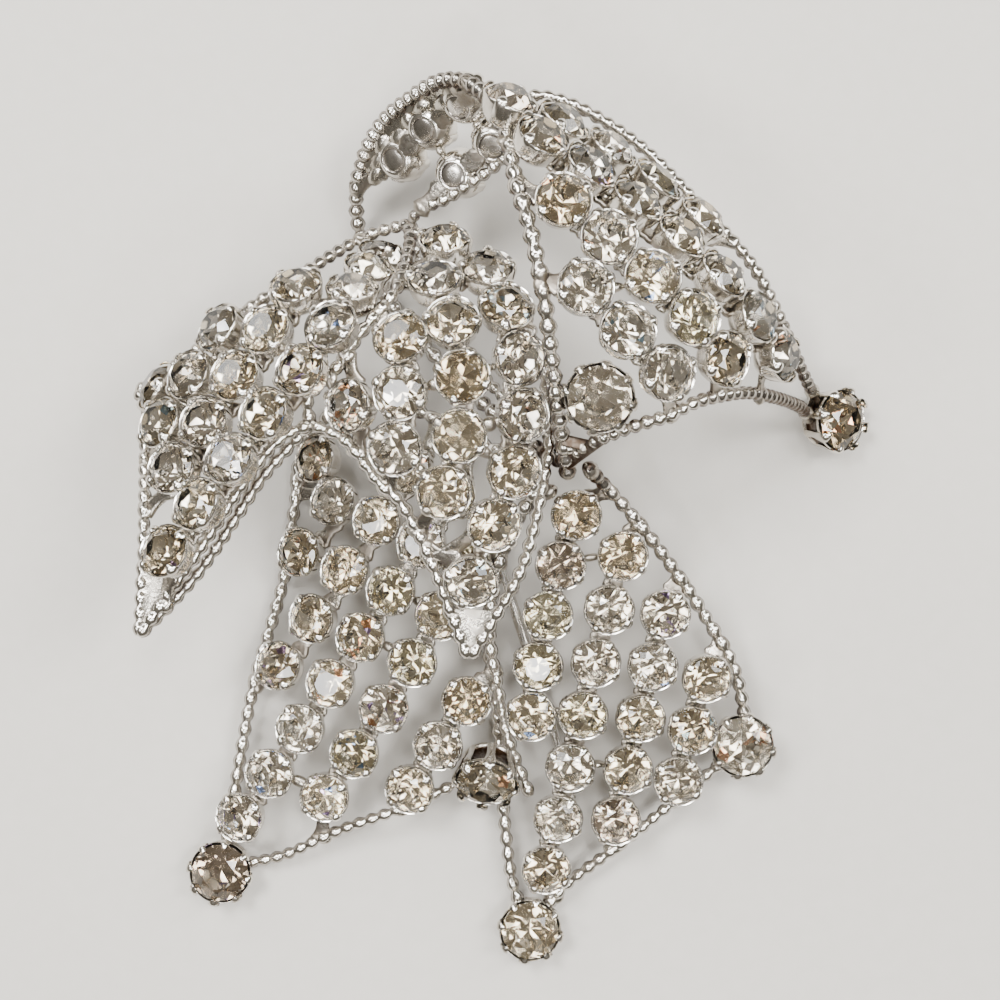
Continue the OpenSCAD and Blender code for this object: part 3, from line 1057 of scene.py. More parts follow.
# A large cup's wall is dark from its base nearly to its lip: painted shade in place of the shadow inside an
# openwork setting
LARGE_CUP = CupForm(
    profile=np.array([
        [1.9, -2.5, 0.5], [2.1, -2.6, 0.2], [2.36, -2.56, 0.0], [2.46, -2.38, 0.0], [2.38, -2.18, 0.4],
        [2.26, -2.05, 1.0], [2.36, -1.2, 1.0], [2.56, -0.5, 0.9], [2.72, -0.28, 0.2], [2.8, -0.1, 0.0],
        [2.76, 0.08, 0.1], [2.66, 0.02, 0.7], [2.45, -0.5, 1.0], [0.7, -2.1, 1.0],
    ]),
    tongue=np.array([
        [2.34, -2.4, 0.8, 0.3], [2.44, -1.4, 0.7, 0.34], [2.76, -0.4, 0.9, 0.34], [2.88, 0.25, 1.05, 0.3],
        [2.78, 0.66, 0.8, 0.28], [2.4, 0.9, 0.3, 0.16],
    ]),
    prongs=8,
    first_prong=33.75,
    sides=32,
)
SMALL_STONE = StoneCut(diameter=3.9, crown=0.9, depth=1.55)
LARGE_STONE = StoneCut(diameter=5.1, crown=1.12, depth=1.95)


# The bow's soldered parts


@dataclass
class BowPart:
    """One part of the bow, soldered up on its own: edge wires, rails, cups and settings."""

    name: str = ""
    node: str = ""
    seed: int = 1
    wires: tuple[Wire, ...] = ()
    panels: tuple[Panel, ...] = ()
    # Which wires each panel's rails run to
    reach: tuple[tuple[int, ...], ...] = ()
    seats: tuple[Seat, ...] = ()
    # x, y, z, reach and strength of the tarnish and painted shadow round the knot
    knot_tarnish_and_shade: tuple[float, ...] = (5.4, 2.6, 14.0, 3.6, 0.5)
    # Typical lean of a cup, in degrees
    lean: float = 3.0
    # Share of the gaps between neighbouring cups that a bead of solder closes
    linked: float = 0.5
    # Where a rail looks for a wire: depth under the row, and length beyond the row's own
    look_depth: float = 2.2
    look_beyond: float = 1.0

    def set_places(self) -> dict[str, Places]:
        """The places of each panel's stones, each cup leaning a little."""
        rng = np.random.default_rng(self.seed)
        return {panel.name: panel.places().leaning(rng, self.lean) for panel in self.panels}

    def rails(self, rng: np.random.Generator) -> list[Skin]:
        """The rails of all panels, each from wire to wire under its row.

        Args:
            rng: Source of the seeded chance.

        Returns:
            The strips and their drops of solder.
        """
        out: list[Skin] = []
        for panel, reach in zip(self.panels, self.reach):
            wires = np.concatenate([self.wires[i].inner() for i in reach])
            for row in panel.rows:
                last = row.total(panel.sheet) + row.after + self.look_beyond
                ends = row.at(panel.sheet, np.array([-row.before - self.look_beyond, last]))
                low = ends.points - ends.normals * self.look_depth
                after = None if row.after < 0 else nearest_point(low[1], wires)
                goals = (nearest_point(low[0], wires), after)
                out += RAIL.skins(row.places(panel.sheet), goals, rng)
        return out

    def extra(self, rng: np.random.Generator) -> list[Skin]:
        """Metal that only one part has."""
        return []

    def metal(self) -> Skin:
        """All the metal of the part.

        Returns:
            Wires, rails, cups, links, settings and the part's own extras as one skin.
        """
        rng = np.random.default_rng(self.seed + METAL_CHANCE)
        skins = [wire.skin(rng) for wire in self.wires]
        skins += self.rails(rng)
        for places in self.set_places().values():
            skins.append(SMALL_CUP.skin().copied(places))
            skins += LINKS.skins(places, self.linked, rng)
        skins += [LARGE_CUP.skin().copied(seat.place()) for seat in self.seats]
        # The metal round the knot is darkened: tarnish and painted shadow
        return joined(skins + self.extra(rng)).tarnished_and_shaded(np.array([self.knot_tarnish_and_shade]))

    def build(self) -> None:
        """Makes the part's metal and stones and lets them ride on the frame."""
        put_piece(self.name, self.metal(), self.node)
        for name, places in self.set_places().items():
            stones = cut_stones(SMALL_STONE, places, self.seed)
            put_piece(name + "_rhinestones", stones, name + "_stones")
        for seat in self.seats:
            seed = self.seed + int(abs(seat.x) * TENTHS)
            stone = cut_stones(LARGE_STONE, seat.place(), seed, seat.tint)
            put_piece(seat.name + "_rhinestone", stone, seat.name + "_stone")


def web(left: Floats, right: Floats, half_height: float = 0.32, tarnish_and_shade: float = 0.05) -> Skin:
    """A web of solder that fills the narrow corner between two wires.

    Across, the web goes from one wire's line to the other's, and sinks a little in its
    middle by a sine; its upper and lower side are half a height above and below.

    Args:
        left: Points of the one wire towards the corner.
        right: As many points of the other.
        half_height: Half the web's thickness.
        tarnish_and_shade: How brown it is, from 0 to 1; at the knot the brown is partly painted shade.

    Returns:
        The web's skin.
    """
    deepest, points_across = 0.12, 7
    t = np.linspace(0, 1, points_across)[None, :, None]
    flat = left[:, None, :] * (1 - t) + right[:, None, :] * t
    dip = np.sin(np.pi * t) * deepest
    top, bottom = flat + UP * (half_height - dip), (flat - UP * half_height)[:, ::-1]
    rings = np.concatenate([top, bottom], axis=1)
    # Where left to right, first to last and up are right-handed, the rings turn the right
    # way already; otherwise they are turned round
    forward = np.cross(np.sum(right - left, axis=0), rings[-1].mean(0) - rings[0].mean(0))[2] > 0
    rings = rings if forward else rings[:, ::-1]
    return ringed_skin(rings, np.full(len(left), tarnish_and_shade), Finish.SOLDER)


def strap(start: Floats, end: Floats, up: Floats, half_widths: tuple[float, float],
          half_height: float, tarnish_and_shade: float) -> Skin:
    """A short straight strip that widens evenly.

    Args:
        start: Middle of its one end.
        end: Middle of its other end.
        up: Its upward direction.
        half_widths: Half its width at the start and at the end.
        half_height: Half its height.
        tarnish_and_shade: How dull and dark it is, from 0 to 1; at the knot the dark is partly painted shade.

    Returns:
        The strap's skin.
    """
    points = 9
    path = np.linspace(start, end, points)
    wide = np.linspace(*half_widths, points)
    return flat_strip(path, np.tile(up, (points, 1)), wide, np.full(points, half_height), tarnish_and_shade)


@dataclass(frozen=True)
class UnderRow:
    """A row of stones on the band that turns under."""

    # Share of the way across the band, from its rim
    share: float
    # Places of the first and the last stone along the band, from 0 to 1
    first: float
    last: float
    stones: int


@dataclass
class RightLoop(BowPart):
    """The big loop at the right, whose band turns under at its top left."""

    name: str = "right_loop_metal"
    node: str = "right_loop_frame"
    seed: int = 11
    # Rim, far wire and bottom wire. The rim's beads are thicker than the solid's plain wire,
    # so beside the front leaf's prongs its second and third point lie 0.2 mm farther out
    wires: tuple[Wire, ...] = (
        Wire((
            (5.6, 1.9, 16.5), (5, 4.8, 19.5), (4.1, 10.1, 24), (3.4, 15.2, 26.5), (2.3, 20.5, 27),
            (1.2, 24.5, 25.5), (0.4, 29, 22.5), (-1.2, 32.5, 19), (-3.3, 34.4, 16), (-5.9, 34.7, 13),
            (-9.9, 32.7, 9), (-12, 29.8, 6.3), (-12.8, 26.7, 3.8), (-12.4, 23.4, 1.8),
            (-10, 18, 0.6), (-4, 11, 2), (2, 5.5, 8), (5, 3, 14.2),
        ), bead=1.46, pitch=1.42, ends=(1.08, 0.75), squeezed=(6.5, 13, 0.74)),
        Wire((
            (28.3, 8.9, 3), (27.6, 9.7, 4.6), (26.5, 10.8, 7.2), (23.5, 15.3, 12.5), (20.6, 19.9, 14.5),
            (15.2, 25.7, 15), (11.4, 29.4, 15), (6.5, 32.4, 15.2), (2.9, 33.4, 15), (1.3, 32.2, 13.2),
            (0.3, 28.9, 11.8), (-4.3, 26, 9.4), (-7.6, 24.3, 7.2), (-6, 18, 4.5), (-1, 10.5, 4.5),
            (3.6, 6, 10), (6, 3.2, 14.8),
        ), bead=1.16, pitch=1.1),
        Wire((
            (5.8, 3.4, 17.3), (7.9, 4.8, 20.5), (10.9, 5.9, 22.8), (13.2, 6.6, 23.3), (15.7, 7.8, 22.3),
            (19.3, 8.6, 19), (22.3, 8.6, 14.8), (25.8, 8.2, 7.8), (26.9, 7.8, 5), (27.8, 7.4, 3),
        ), bead=1.2, pitch=1.02),
    )
    panels: tuple[Panel, ...] = (Panel(
        "right_loop",
        Sheet(
            x=0, y=0, turn=-40.5, height=33, slopes=(0, -0.25),
            bends=((-12, 0.027), (0, 0.057), FLAT_LOW, (20.6, 0.14)),
        ),
        (
            Row((0.8, 31.2), (16.4, 22.9), 1, 5, 1, 2),
            Row((3.3, 27.9), (22.5, 11.5), 1.3, 7, 3, 3),
            Row((4.8, 22.6), (17.4, 10.8), 0.4, 5, 3, 3),
            Row((6.4, 15.9), (12.7, 9.5), 0, 3, 3, 2),
        ),
    ),)
    reach: tuple[tuple[int, ...], ...] = ((0, 1, 2),)
    seats: tuple[Seat, ...] = (
        Seat("center", 8, 8.4, 21.4, lean=12, towards=240, tint=Tint.CLEAR),
        Seat("loop_tip", 29.03, 7.3, 1.26, lean=33, towards=352, tint=Tint.CHAMPAGNE),
    )
    # The turned-under band: its span in rows of the rim's and of the far wire's table, how
    # far its stones stand off it, and how far beyond a row its rail looks for a wire
    under_rows: tuple[UnderRow, ...] = (UnderRow(0.32, 0.34, 0.76, 3), UnderRow(0.84, 0.38, 0.64, 2))
    under_rim: tuple[float, float] = (7.3, 11.6)
    under_far: tuple[float, float] = (9, 11.6)
    under_rise: float = 1.6
    under_look: float = 0.3
    # The solder web inside the arch: its span along the band, its share of the band's width
    # with the height and the rate of its waves, half its thickness and its tarnish
    arch_span: tuple[float, float] = (0.2, 0.92)
    arch_share: Triple = (0.17, 0.06, 30.0)
    arch_web: tuple[float, float] = (0.3, 0.15)
    # Its drops: how many, their span along the band, and their share of the band's width
    # with its step from drop to drop
    arch_drops: int = 9
    arch_drop_span: tuple[float, float] = (0.24, 0.9)
    arch_drop_side: tuple[float, float] = (0.12, 0.05)
    # The ranges of half a drop's length, width and height
    arch_drop_size: tuple[tuple[float, float], ...] = ((0.8, 1.3), (0.6, 0.9), (0.4, 0.6))
    # Lengths of the rim and of the bottom wire that solder joins at the knot
    knot: tuple[float, float] = (4.2, 4.4)
    knot_drops: int = 6
    # The ranges of half a drop's length and width, and half its height
    knot_drop_size: tuple[tuple[float, float], tuple[float, float], float] = ((0.45, 0.7), (0.35, 0.5), 0.4)
    # Each strap's ends, as shares of the rim's and of the bottom wire's length at the knot
    knot_straps: tuple[tuple[float, float], ...] = ((0.35, 1.0), (1.0, 0.6))
    # How far the straps and the drops lie above the wires' lines there
    knot_rise: tuple[float, float] = (0.15, 0.25)
    # Length of the far wire and of the bottom wire that is clad in solder at the tip, and
    # the cladding's diameter with the height and the rate of its waves
    tip: float = 2.6
    tip_clad: Triple = (1.3, 0.16, 1.3)

    def under_point(self, share: float, along: Floats) -> Floats:
        """Points of the turned-under band: a straight mix of the rim and the far wire.

        Args:
            share: Share of the way across, from 0 at the rim to 1 at the far wire.
            along: Places along the band, from 0 to 1.

        Returns:
            One point for each place.
        """
        rim, far = (
            smooth_curve(np.array(wire.table), start * (1 - along) + end * along)
            for wire, (start, end) in zip(self.wires, (self.under_rim, self.under_far))
        )
        return rim * (1 - share) + far * share

    def under_places(self, row: UnderRow) -> Places:
        """The places of the stones of one turned-under row, which face outward.

        Args:
            row: The row.

        Returns:
            Points that stand off the band, its outward normals and the row's direction.
        """
        along = np.linspace(row.first, row.last, row.stones)
        p = self.under_point(row.share, along)
        way = unit(self.under_point(row.share, along + SHORT_STEP) - p)
        n = unit(np.cross(self.under_point(row.share + SHORT_STEP, along) - p, way))
        return Places(p + n * self.under_rise, n, way)

    def set_places(self) -> dict[str, Places]:
        """The places of the loop's stones, those of the turned-under rows after the rest."""
        upper = super().set_places()["right_loop"]
        return {"right_loop": joined_places([upper, *(self.under_places(r) for r in self.under_rows)])}

    def inner_wires(self) -> Floats:
        """Points of all three wires where a rail or a strap may land."""
        return np.concatenate([wire.inner() for wire in self.wires])

    def rails(self, rng: np.random.Generator) -> list[Skin]:
        """The rails of the upper and of the turned-under rows.

        Args:
            rng: Source of the seeded chance.

        Returns:
            The strips and their drops of solder.
        """
        out = super().rails(rng)
        wires = self.inner_wires()
        for row in self.under_rows:
            along = np.array([row.first - self.under_look, row.last + self.under_look])
            ends = self.under_point(row.share, along)
            goals = (nearest_point(ends[0], wires), nearest_point(ends[1], wires))
            out += RAIL.skins(self.under_places(row), goals, rng)
        return out

    def middle_straps(self) -> list[Skin]:
        """The straps under the middle setting, from its base to the wires beside it.

        Returns:
            Two straps, the one to the left and the other to the bottom wire.
        """
        base_depth, from_middle, look = 2.45, 1.2, 4
        place = self.seats[0].place()
        n = place.normals[0]
        base = place.points[0] - n * base_depth
        out = []
        for way in (np.array([-1, 0.2, 0]), np.array([0.2, -1, 0])):
            side = unit(way - n * (way @ n))
            goal = nearest_point(base + side * look, self.inner_wires())
            start = base + side * from_middle
            out.append(strap(start, goal, n, half_widths=(0.55, 0.9), half_height=0.25, tarnish_and_shade=0.4))
        return out

    def arch_solder(self, rng: np.random.Generator) -> list[Skin]:
        """The solder inside the arch: a web along the rim with drops on it.

        The web runs from the rim's line to a share of the way across the band, and that
        share rises and falls by a sine.

        Args:
            rng: Source of the seeded chance.

        Returns:
            The web and its drops.
        """
        points, phase = 22, 1
        along = np.linspace(*self.arch_span, points)
        mean, height, rate = self.arch_share
        share = (mean + height * np.sin(along * rate + phase))[:, None]
        rim = self.under_point(0.0, along)
        far = self.under_point(1.0, along)
        out = [web(rim, rim * (1 - share) + far * share, *self.arch_web)]
        for k, at in enumerate(np.linspace(*self.arch_drop_span, self.arch_drops)):
            side = self.arch_drop_side[0] + self.arch_drop_side[1] * (k % 3)
            p = self.under_point(side, np.array([at, at + SHORT_STEP]))
            way = unit(p[1] - p[0])
            across = self.under_point(side + SHORT_STEP, np.array([at]))[0] - p[0]
            length, width, height = (rng.uniform(*limits) for limits in self.arch_drop_size)
            up = unit(np.cross(way, across))
            out.append(solder_drop(p[0], way, up, (length, width, height), rng))
        return out

    def knot_solder(self, rng: np.random.Generator) -> list[Skin]:
        """The dark solder at the knot, its darkness partly painted shade: a web between two wires, two straps
        and drops.

        Args:
            rng: Source of the seeded chance.

        Returns:
            The web, the straps and the drops.
        """
        # Where the solder starts on the wires, its points along them, and how many the web has
        first, points, webbed = 0.3, 9, 6
        rim_wire, bottom_wire = self.wires[0], self.wires[2]
        rim = rim_wire.at(np.linspace(first, self.knot[0], points))
        bottom = bottom_wire.at(np.linspace(first, self.knot[1], points))
        # The web is as dark as the tone goes: brown solder and painted shade in one
        out = [web(rim[:webbed], bottom[:webbed], half_height=0.4, tarnish_and_shade=1.0)]
        for one, other in self.knot_straps:
            start = rim_wire.at(np.array([self.knot[0] * one]))[0] + UP * self.knot_rise[0]
            end = bottom_wire.at(np.array([self.knot[1] * other]))[0] + UP * self.knot_rise[0]
            # The straps are nearly as dark: brown solder and painted shade
            out.append(strap(start, end, UP, half_widths=(0.5, 0.5), half_height=0.3, tarnish_and_shade=0.88))
        lengths, widths, half_height = self.knot_drop_size
        for k in range(1, self.knot_drops + 1):
            # A quarter, a half and three quarters of the way across, in turn
            across = 0.25 * (1 + k % 3)
            p = rim[k] + (bottom[k] - rim[k]) * across + UP * self.knot_rise[1]
            way = unit(np.array([1.0, rng.uniform(-1, 1), 0.0]))
            size = (rng.uniform(*lengths), rng.uniform(*widths), half_height)
            out.append(solder_drop(p, way, UP, size, rng))
        return out

    def tip_solder(self) -> list[Skin]:
        """The solder that clads the two wires' ends behind the tip's setting.

        The cladding's diameter rises and falls by a sine and shrinks over its last points.

        Returns:
            A web between the ends, and the cladding of both.
        """
        shrink = np.array([1] * 6 + [0.95, 0.85, 0.5])
        points, webbed = len(shrink), 7
        far, bottom = self.wires[1], self.wires[2]
        ends = [far.at(np.linspace(0, self.tip, points)), bottom.end(self.tip, points)[::-1]]
        mean, height, rate = self.tip_clad
        thick = (mean + height * np.sin(np.arange(points) * rate)) * shrink
        out = [web(ends[0][:webbed], ends[1][:webbed], half_height=0.4, tarnish_and_shade=0.25)]
        return out + [plain_wire(path, thick, Finish.SOLDER) for path in ends]

    def extra(self, rng: np.random.Generator) -> list[Skin]:
        """The loop's straps and solder."""
        fixed, loose = self.middle_straps(), self.arch_solder(rng) + self.knot_solder(rng)
        return fixed + loose + self.tip_solder()


# The left leaf's lower edge is double: its second wire runs beside and below the first
LEFT_LEAF_EDGE: tuple[Triple, ...] = (
    (-15.2, 6.1, 19.1), (-17.6, 4.9, 19.3), (-20, 2.1, 19.5), (-24.9, -5.2, 19.4), (-29, -10.9, 19),
)
LEFT_LEAF_SECOND_EDGE: tuple[Triple, ...] = (
    LEFT_LEAF_EDGE[0],
    *((x + 0.6, y - 0.6, z - 1.1) for x, y, z in LEFT_LEAF_EDGE[1:-1]),
    LEFT_LEAF_EDGE[-1],
)
FRONT_SHEET = Sheet(
    x=0, y=0, turn=0, height=24, slopes=(0, 0),
    bends=((-5, 0.04), (-1.5, 0.07), (10, 0.0115), (10.5, 0.065)),
)
LEFT_SHEET = Sheet(
    x=0, y=0, turn=-123.5, height=34, slopes=(0, 0.6),
    bends=((-3, 0.14), FLAT_HIGH, (-26, 0.25), FLAT_HIGH),
)


@dataclass
class LeftWing(BowPart):
    """The left half of the bow: the front leaf and the left leaf meet at a bright spine."""

    name: str = "left_wing_metal"
    node: str = "left_wing_frame"
    seed: int = 23
    linked: float = 0.8
    # The spine, the front leaf's right and left edge, and the left leaf's upper, outer and
    # double lower edge
    wires: tuple[Wire, ...] = (
        Wire((
            (-8.3, 23.6, 10.5), (-7.5, 22, 13), (-8.3, 17.1, 18.5), (-11, 13.4, 20.3), (-13.2, 10.3, 20.2),
            (-15.3, 8.2, 19.7), (-15.2, 6.1, 19.1),
        ), bead=1.2, pitch=1.25),
        Wire((
            (-7.6, 22.8, 11.6), (-1.2, 19.3, 14.5), (1.5, 16, 18), (2.9, 12.2, 20), (3.7, 9.2, 19.8),
            (3.9, 6.1, 18.3), (4, 4.1, 17.6), (3.6, 2.2, 17.6), (3.1, -0.6, 18), (1.9, -5.2, 18),
            (0, -8.8, 17.8), (-2.4, -12.8, 17.3),
        ), bead=1.2, pitch=1.22),
        Wire((
            (-15.2, 6.1, 19.1), (-12.4, 4.8, 19.3), (-9.6, 1.3, 19.3), (-7.9, -0.3, 19), (-5.6, -4.8, 18.3),
            (-2.6, -12.8, 17.3),
        ), bead=1.2, pitch=1.22),
        Wire((
            (-8.4, 23.5, 9.8), (-12.1, 22.5, 8.6), (-16.8, 18.9, 12.5), (-21.8, 15.5, 12.8),
            (-26.1, 12.2, 12), (-30.9, 9.2, 10.5),
        ), bead=1.15, pitch=1.2),
        Wire((
            (-30.9, 9.2, 10.5), (-29.7, 7.6, 12.3), (-29.3, 4.1, 15), (-28.9, 0, 17.2),
            (-28.8, -4.8, 18.5), (-29, -10.9, 19),
        ), bead=1.15, pitch=1.2),
        Wire(LEFT_LEAF_EDGE, bead=1.2, pitch=1.2),
        Wire(LEFT_LEAF_SECOND_EDGE, bead=1.15, pitch=1.2),
    )
    panels: tuple[Panel, ...] = (
        Panel("front_leaf", FRONT_SHEET, (
            Row((-4.6, 22), (-4.4, 20.6), 0, 1, 0, 0),
            Row((-1, 18.6), (-0.4, -2), 2.6, 6, 1, 2),
            Row((-5.2, 17.6), (-4.4, 0.6), 1.9, 5, 1, 3),
            Row((-7.8, 12.7), (-8.2, 4), 0.2, 3, 1, 2),
            Row((-12, 9.6), (-12, 5.2), 0, 1, 0, 0),
            Row((-2.3, -4.3), (-2.3, -8.7), 0, 1, 0, 1),
        )),
        Panel("left_leaf", LEFT_SHEET, (
            Row((-9.9, 20.8), (-13.3, 13.8), 0, 4, 1, 0),
            Row((-15.7, 10.2), (-26.4, -4), -0.3, 5, 0, 3),
            Row((-16.4, 17.2), (-26.2, 2.6), 0.1, 5, 1, 2),
            Row((-22.9, 14), (-27.6, 6.3), 0, 3, 1, 1),
            Row((-28.1, 11.2), (-29.1, 7.6), 0, 1, 0, 0),
        )),
    )
    reach: tuple[tuple[int, ...], ...] = ((0, 1, 2), (0, 3, 4, 5))
    # The two wires that meet at each leaf's tip, and the length that solder joins there
    tips: tuple[tuple[int, int, float], ...] = ((4, 5, 5.2), (1, 2, 4.4))

    def extra(self, rng: np.random.Generator) -> list[Skin]:
        """The solder that fills the two leaves' tips."""
        return [web(self.wires[i].end(reach), self.wires[k].end(reach)) for i, k, reach in self.tips]


@dataclass
class LeftTail(BowPart):
    """The left ribbon end, which lies over the right one."""

    name: str = "left_tail_metal"
    node: str = "left_tail_frame"
    seed: int = 37
    linked: float = 0.35
    # Left edge, bottom edge and right edge
    wires: tuple[Wire, ...] = (
        Wire((
            (3.8, 2.5, 13.8), (-2, 5, 10.5), (-8, 8, 7), (-14.5, 8, 3.6), (-18, 3.9, 1.2), (-18.6, -0.6, 1.1),
            (-19.6, -7.4, 1.3), (-22.1, -16.3, 1.9), (-23.5, -24, 2.1), (-24.7, -31.1, 1.3),
        ), bead=1.28, pitch=1.42),
        Wire((
            (-22.9, -32.8, 1.3), (-19.2, -31.8, 2.4), (-14.5, -29.5, 3.6), (-9.3, -27.5, 4.7),
            (-5.8, -25.9, 5.3), (-3.1, -24.6, 5.3),
        ), bead=1.1, pitch=1.25),
        Wire((
            (3.8, 2.1, 13.6), (0.8, -3, 10.6), (-0.6, -8, 8.4), (-0.9, -12.1, 6.4), (0, -17.6, 4.8),
            (1, -22, 4.9), (2.7, -26.2, 4.6),
        ), bead=1.3, pitch=1.42),
    )
    panels: tuple[Panel, ...] = (Panel(
        "left_tail",
        Sheet(
            x=-13, y=-13, turn=-122.5, height=8, slopes=(-0.15, 0),
            bends=(FLAT_LOW, FLAT_HIGH, (5, 0.02), FLAT_HIGH),
        ),
        (
            Row((-16.2, 4.7), (-16.8, 2.7), 0, 1, 0, 0),
            Row((-14.7, -0.1), (-17.8, -4.6), 0, 2, 1, 2),
            Row((-7.9, 2.6), (-19.6, -14.6), 0.2, 5, 1, 2),
            Row((-4.2, 0.4), (-23.1, -28.1), 0.2, 8, 1, 2),
            Row((-2.8, -5.8), (-15.4, -26.1), 0.3, 6, 1, 2),
            Row((-2.9, -17.4), (-7.9, -25.3), 0, 3, 1, 2),
        ),
    ),)
    reach: tuple[tuple[int, ...], ...] = ((0, 1, 2),)
    seats: tuple[Seat, ...] = (
        Seat("left_tail_tip", -25.1, -33.4, 0, tint=Tint.SMOKY),
        Seat("left_tail_corner", -0.95, -23, 5.2, lean=38, towards=261, tint=Tint.WARM),
    )


@dataclass
class RightTail(BowPart):
    """The right ribbon end, flat on the table."""

    name: str = "right_tail_metal"
    node: str = "right_tail_frame"
    seed: int = 41
    linked: float = 0.3
    # Right edge, bottom edge and left edge
    wires: tuple[Wire, ...] = (
        Wire((
            (7.1, 2.9, 14.6), (9, 1.1, 11.5), (11.1, -1.1, 10), (13.9, -4.5, 8.7), (17.2, -9.1, 7.3),
            (20.5, -14.6, 5.8), (21.8, -19.5, 3.9),
        ), bead=1.3, pitch=1.42),
        Wire((
            (19.8, -23.3, 3.8), (15, -27.3, 3.6), (10.5, -31, 2.9), (6.4, -34.2, 2.2), (4.2, -36.8, 1.3),
        ), bead=1.15, pitch=1.2),
        Wire((
            (4.6, 1, 12.2), (1.6, -1.5, 9.2), (-0.6, -7, 6.2), (-1, -13.2, 4.2), (-0.4, -17.8, 3.1),
            (-0.1, -21.3, 2.8), (0.4, -28.6, 2.4), (1, -33.8, 2), (1.8, -36.5, 1.3),
        ), bead=1.28, pitch=1.42),
    )
    panels: tuple[Panel, ...] = (Panel(
        "right_tail",
        Sheet(
            x=0, y=-10, turn=0, height=9.3, slopes=(0, 0.19),
            bends=(FLAT_LOW, FLAT_HIGH, FLAT_LOW, FLAT_HIGH),
        ),
        (
            Row((6.5, -1.3), (2.7, -18.8), -0.5, 5, 1, -1),
            Row((10.5, -4.8), (4.1, -32.7), -0.1, 7, 1, 2),
            Row((14.2, -9.8), (10.2, -28.2), 0, 5, 1, 2),
            Row((17.9, -15.5), (15.6, -24.6), 0, 3, 1, 2),
        ),
    ),)
    reach: tuple[tuple[int, ...], ...] = ((0, 1, 2),)
    seats: tuple[Seat, ...] = (
        Seat("right_tail_corner", 21.4, -21.7, 2.6, tint=Tint.CLEAR),
        Seat("right_tail_tip", 2.7, -38.6, 0, tint=Tint.WARM),
    )
    # Half the size of the drops at the knot, and where on the wire they lie
    knot_drop: Triple = (1.0, 0.74, 0.7)
    knot_drop_at: tuple[float, float] = (0.95, 1.6)

    def extra(self, rng: np.random.Generator) -> list[Skin]:
        """The solder round the two edge wires' ends at the knot.

        Args:
            rng: Source of the seeded chance.

        Returns:
            One drop for each wire.
        """
        out = []
        for wire in (self.wires[0], self.wires[2]):
            start = wire.at(np.array(self.knot_drop_at))
            way = unit(start[1] - start[0])
            up = unit(np.cross(np.cross(way, UP), way))
            out.append(solder_drop(start[0], way, up, self.knot_drop, rng))
        return out


@dataclass
class BackPin:
    """The plain pin under the tails: a stem that tapers to its point between two blocks."""

    hinge: tuple[float, float] = (-0.4, -4.6)
    catch: tuple[float, float] = (6.3, -25.4)
    stem_z: float = 1.3
    diameter: float = 0.9
    # How far the stem reaches past the hinge and past the catch
    past: tuple[float, float] = (0.5, 1.6)
    # Where on the stem its point starts, and how much of its thickness the point loses
    point_from: float = 0.85
    point_loss: float = 0.75
    foot_z: float = 0.5
    # Height of the hinge's and of the catch's block, and the width of both
    heights: tuple[float, float] = (5.6, 3.0)
    width: float = 2.0
    # A block's sections: height as a share, and how far in the side lies
    levels: tuple[float, ...] = (0, 0.06, 0.22, 0.5, 0.8, 0.96, 1.0)
    inset: tuple[float, ...] = (0.25, 0.08, 0.0, 0.0, 0.0, 0.06, 0.22)

    def block(self, at: tuple[float, float], way: Floats, height: float) -> Skin:
        """A rounded block: rounded squares that shrink at its foot and its top.

        Args:
            at: Its middle, x and y.
            way: Direction of the pin.
            height: Its height.

        Returns:
            The block's skin.
        """
        tarnish_and_shade = 0.3
        flat, high = rounded_section(sides=16, power=0.3)
        half = (self.width / 2 - np.array(self.inset))[:, None, None]
        level = UP * (np.array(self.levels) * height)[:, None, None]
        rings = half * (way * flat[:, None] + np.cross(UP, way) * high[:, None])[None] + level
        rings = rings + np.array([*at, self.foot_z])
        return ringed_skin(rings, np.full(len(self.levels), tarnish_and_shade), Finish.PIN_STEEL)

    def build(self) -> None:
        """Makes the pin and lets it ride on the frame.

        The stem's thickness falls over its last part as a power of one and a half.
        """
        points = 24
        start, end = np.array([*self.hinge, self.stem_z]), np.array([*self.catch, self.stem_z])
        way = unit(end - start)
        path = np.linspace(start - way * self.past[0], end + way * self.past[1], points)
        point = np.clip((np.linspace(0, 1, points) - self.point_from) / (1 - self.point_from), 0, 1)
        thick = self.diameter * (1 - self.point_loss * point ** 1.5)
        stem = plain_wire(path, thick, Finish.PIN_STEEL, sides=16)
        places = ((self.hinge, self.heights[0]), (self.catch, self.heights[1]))
        blocks = [self.block(at, way, height) for at, height in places]
        put_piece("back_pin_wire", joined([stem, *blocks]), "back_pin")


# Finishes

# Numbers of the colour mix node's sockets: its share, its two colours and its result
MIX_SHARE, MIX_FIRST, MIX_SECOND, MIX_COLOUR = 0, 6, 7, 2


def add_node(tree: bpy.types.NodeTree, kind: str, settings: dict[str | int, Any] | None = None,
             links: dict[str | int, Any] | None = None) -> bpy.types.Node:
    """Adds a shader node.

    Args:
        tree: The material's node tree.
        kind: The node's type name.
        settings: Values for its properties, or for its inputs by name or number.
        links: Outputs of other nodes for its inputs, by name or number.

    Returns:
        The new node.
    """
    node = tree.nodes.new(kind)
    for key, value in (settings or {}).items():
        if isinstance(key, str) and hasattr(node, key):
            setattr(node, key, value)
        else:
            node.inputs[key].default_value = value
    for key, output in (links or {}).items():
        tree.links.new(output, node.inputs[key])
    return node


def colour(code: str) -> tuple[float, float, float, float]:
    """A hex colour as a socket value."""
    return (*(float(c) for c in srgb(code)), 1.0)


def pattern_scale(size_mm: float) -> float:
    """Noise scale, per metre, for features of a real size."""
    return 1000.0 / size_mm


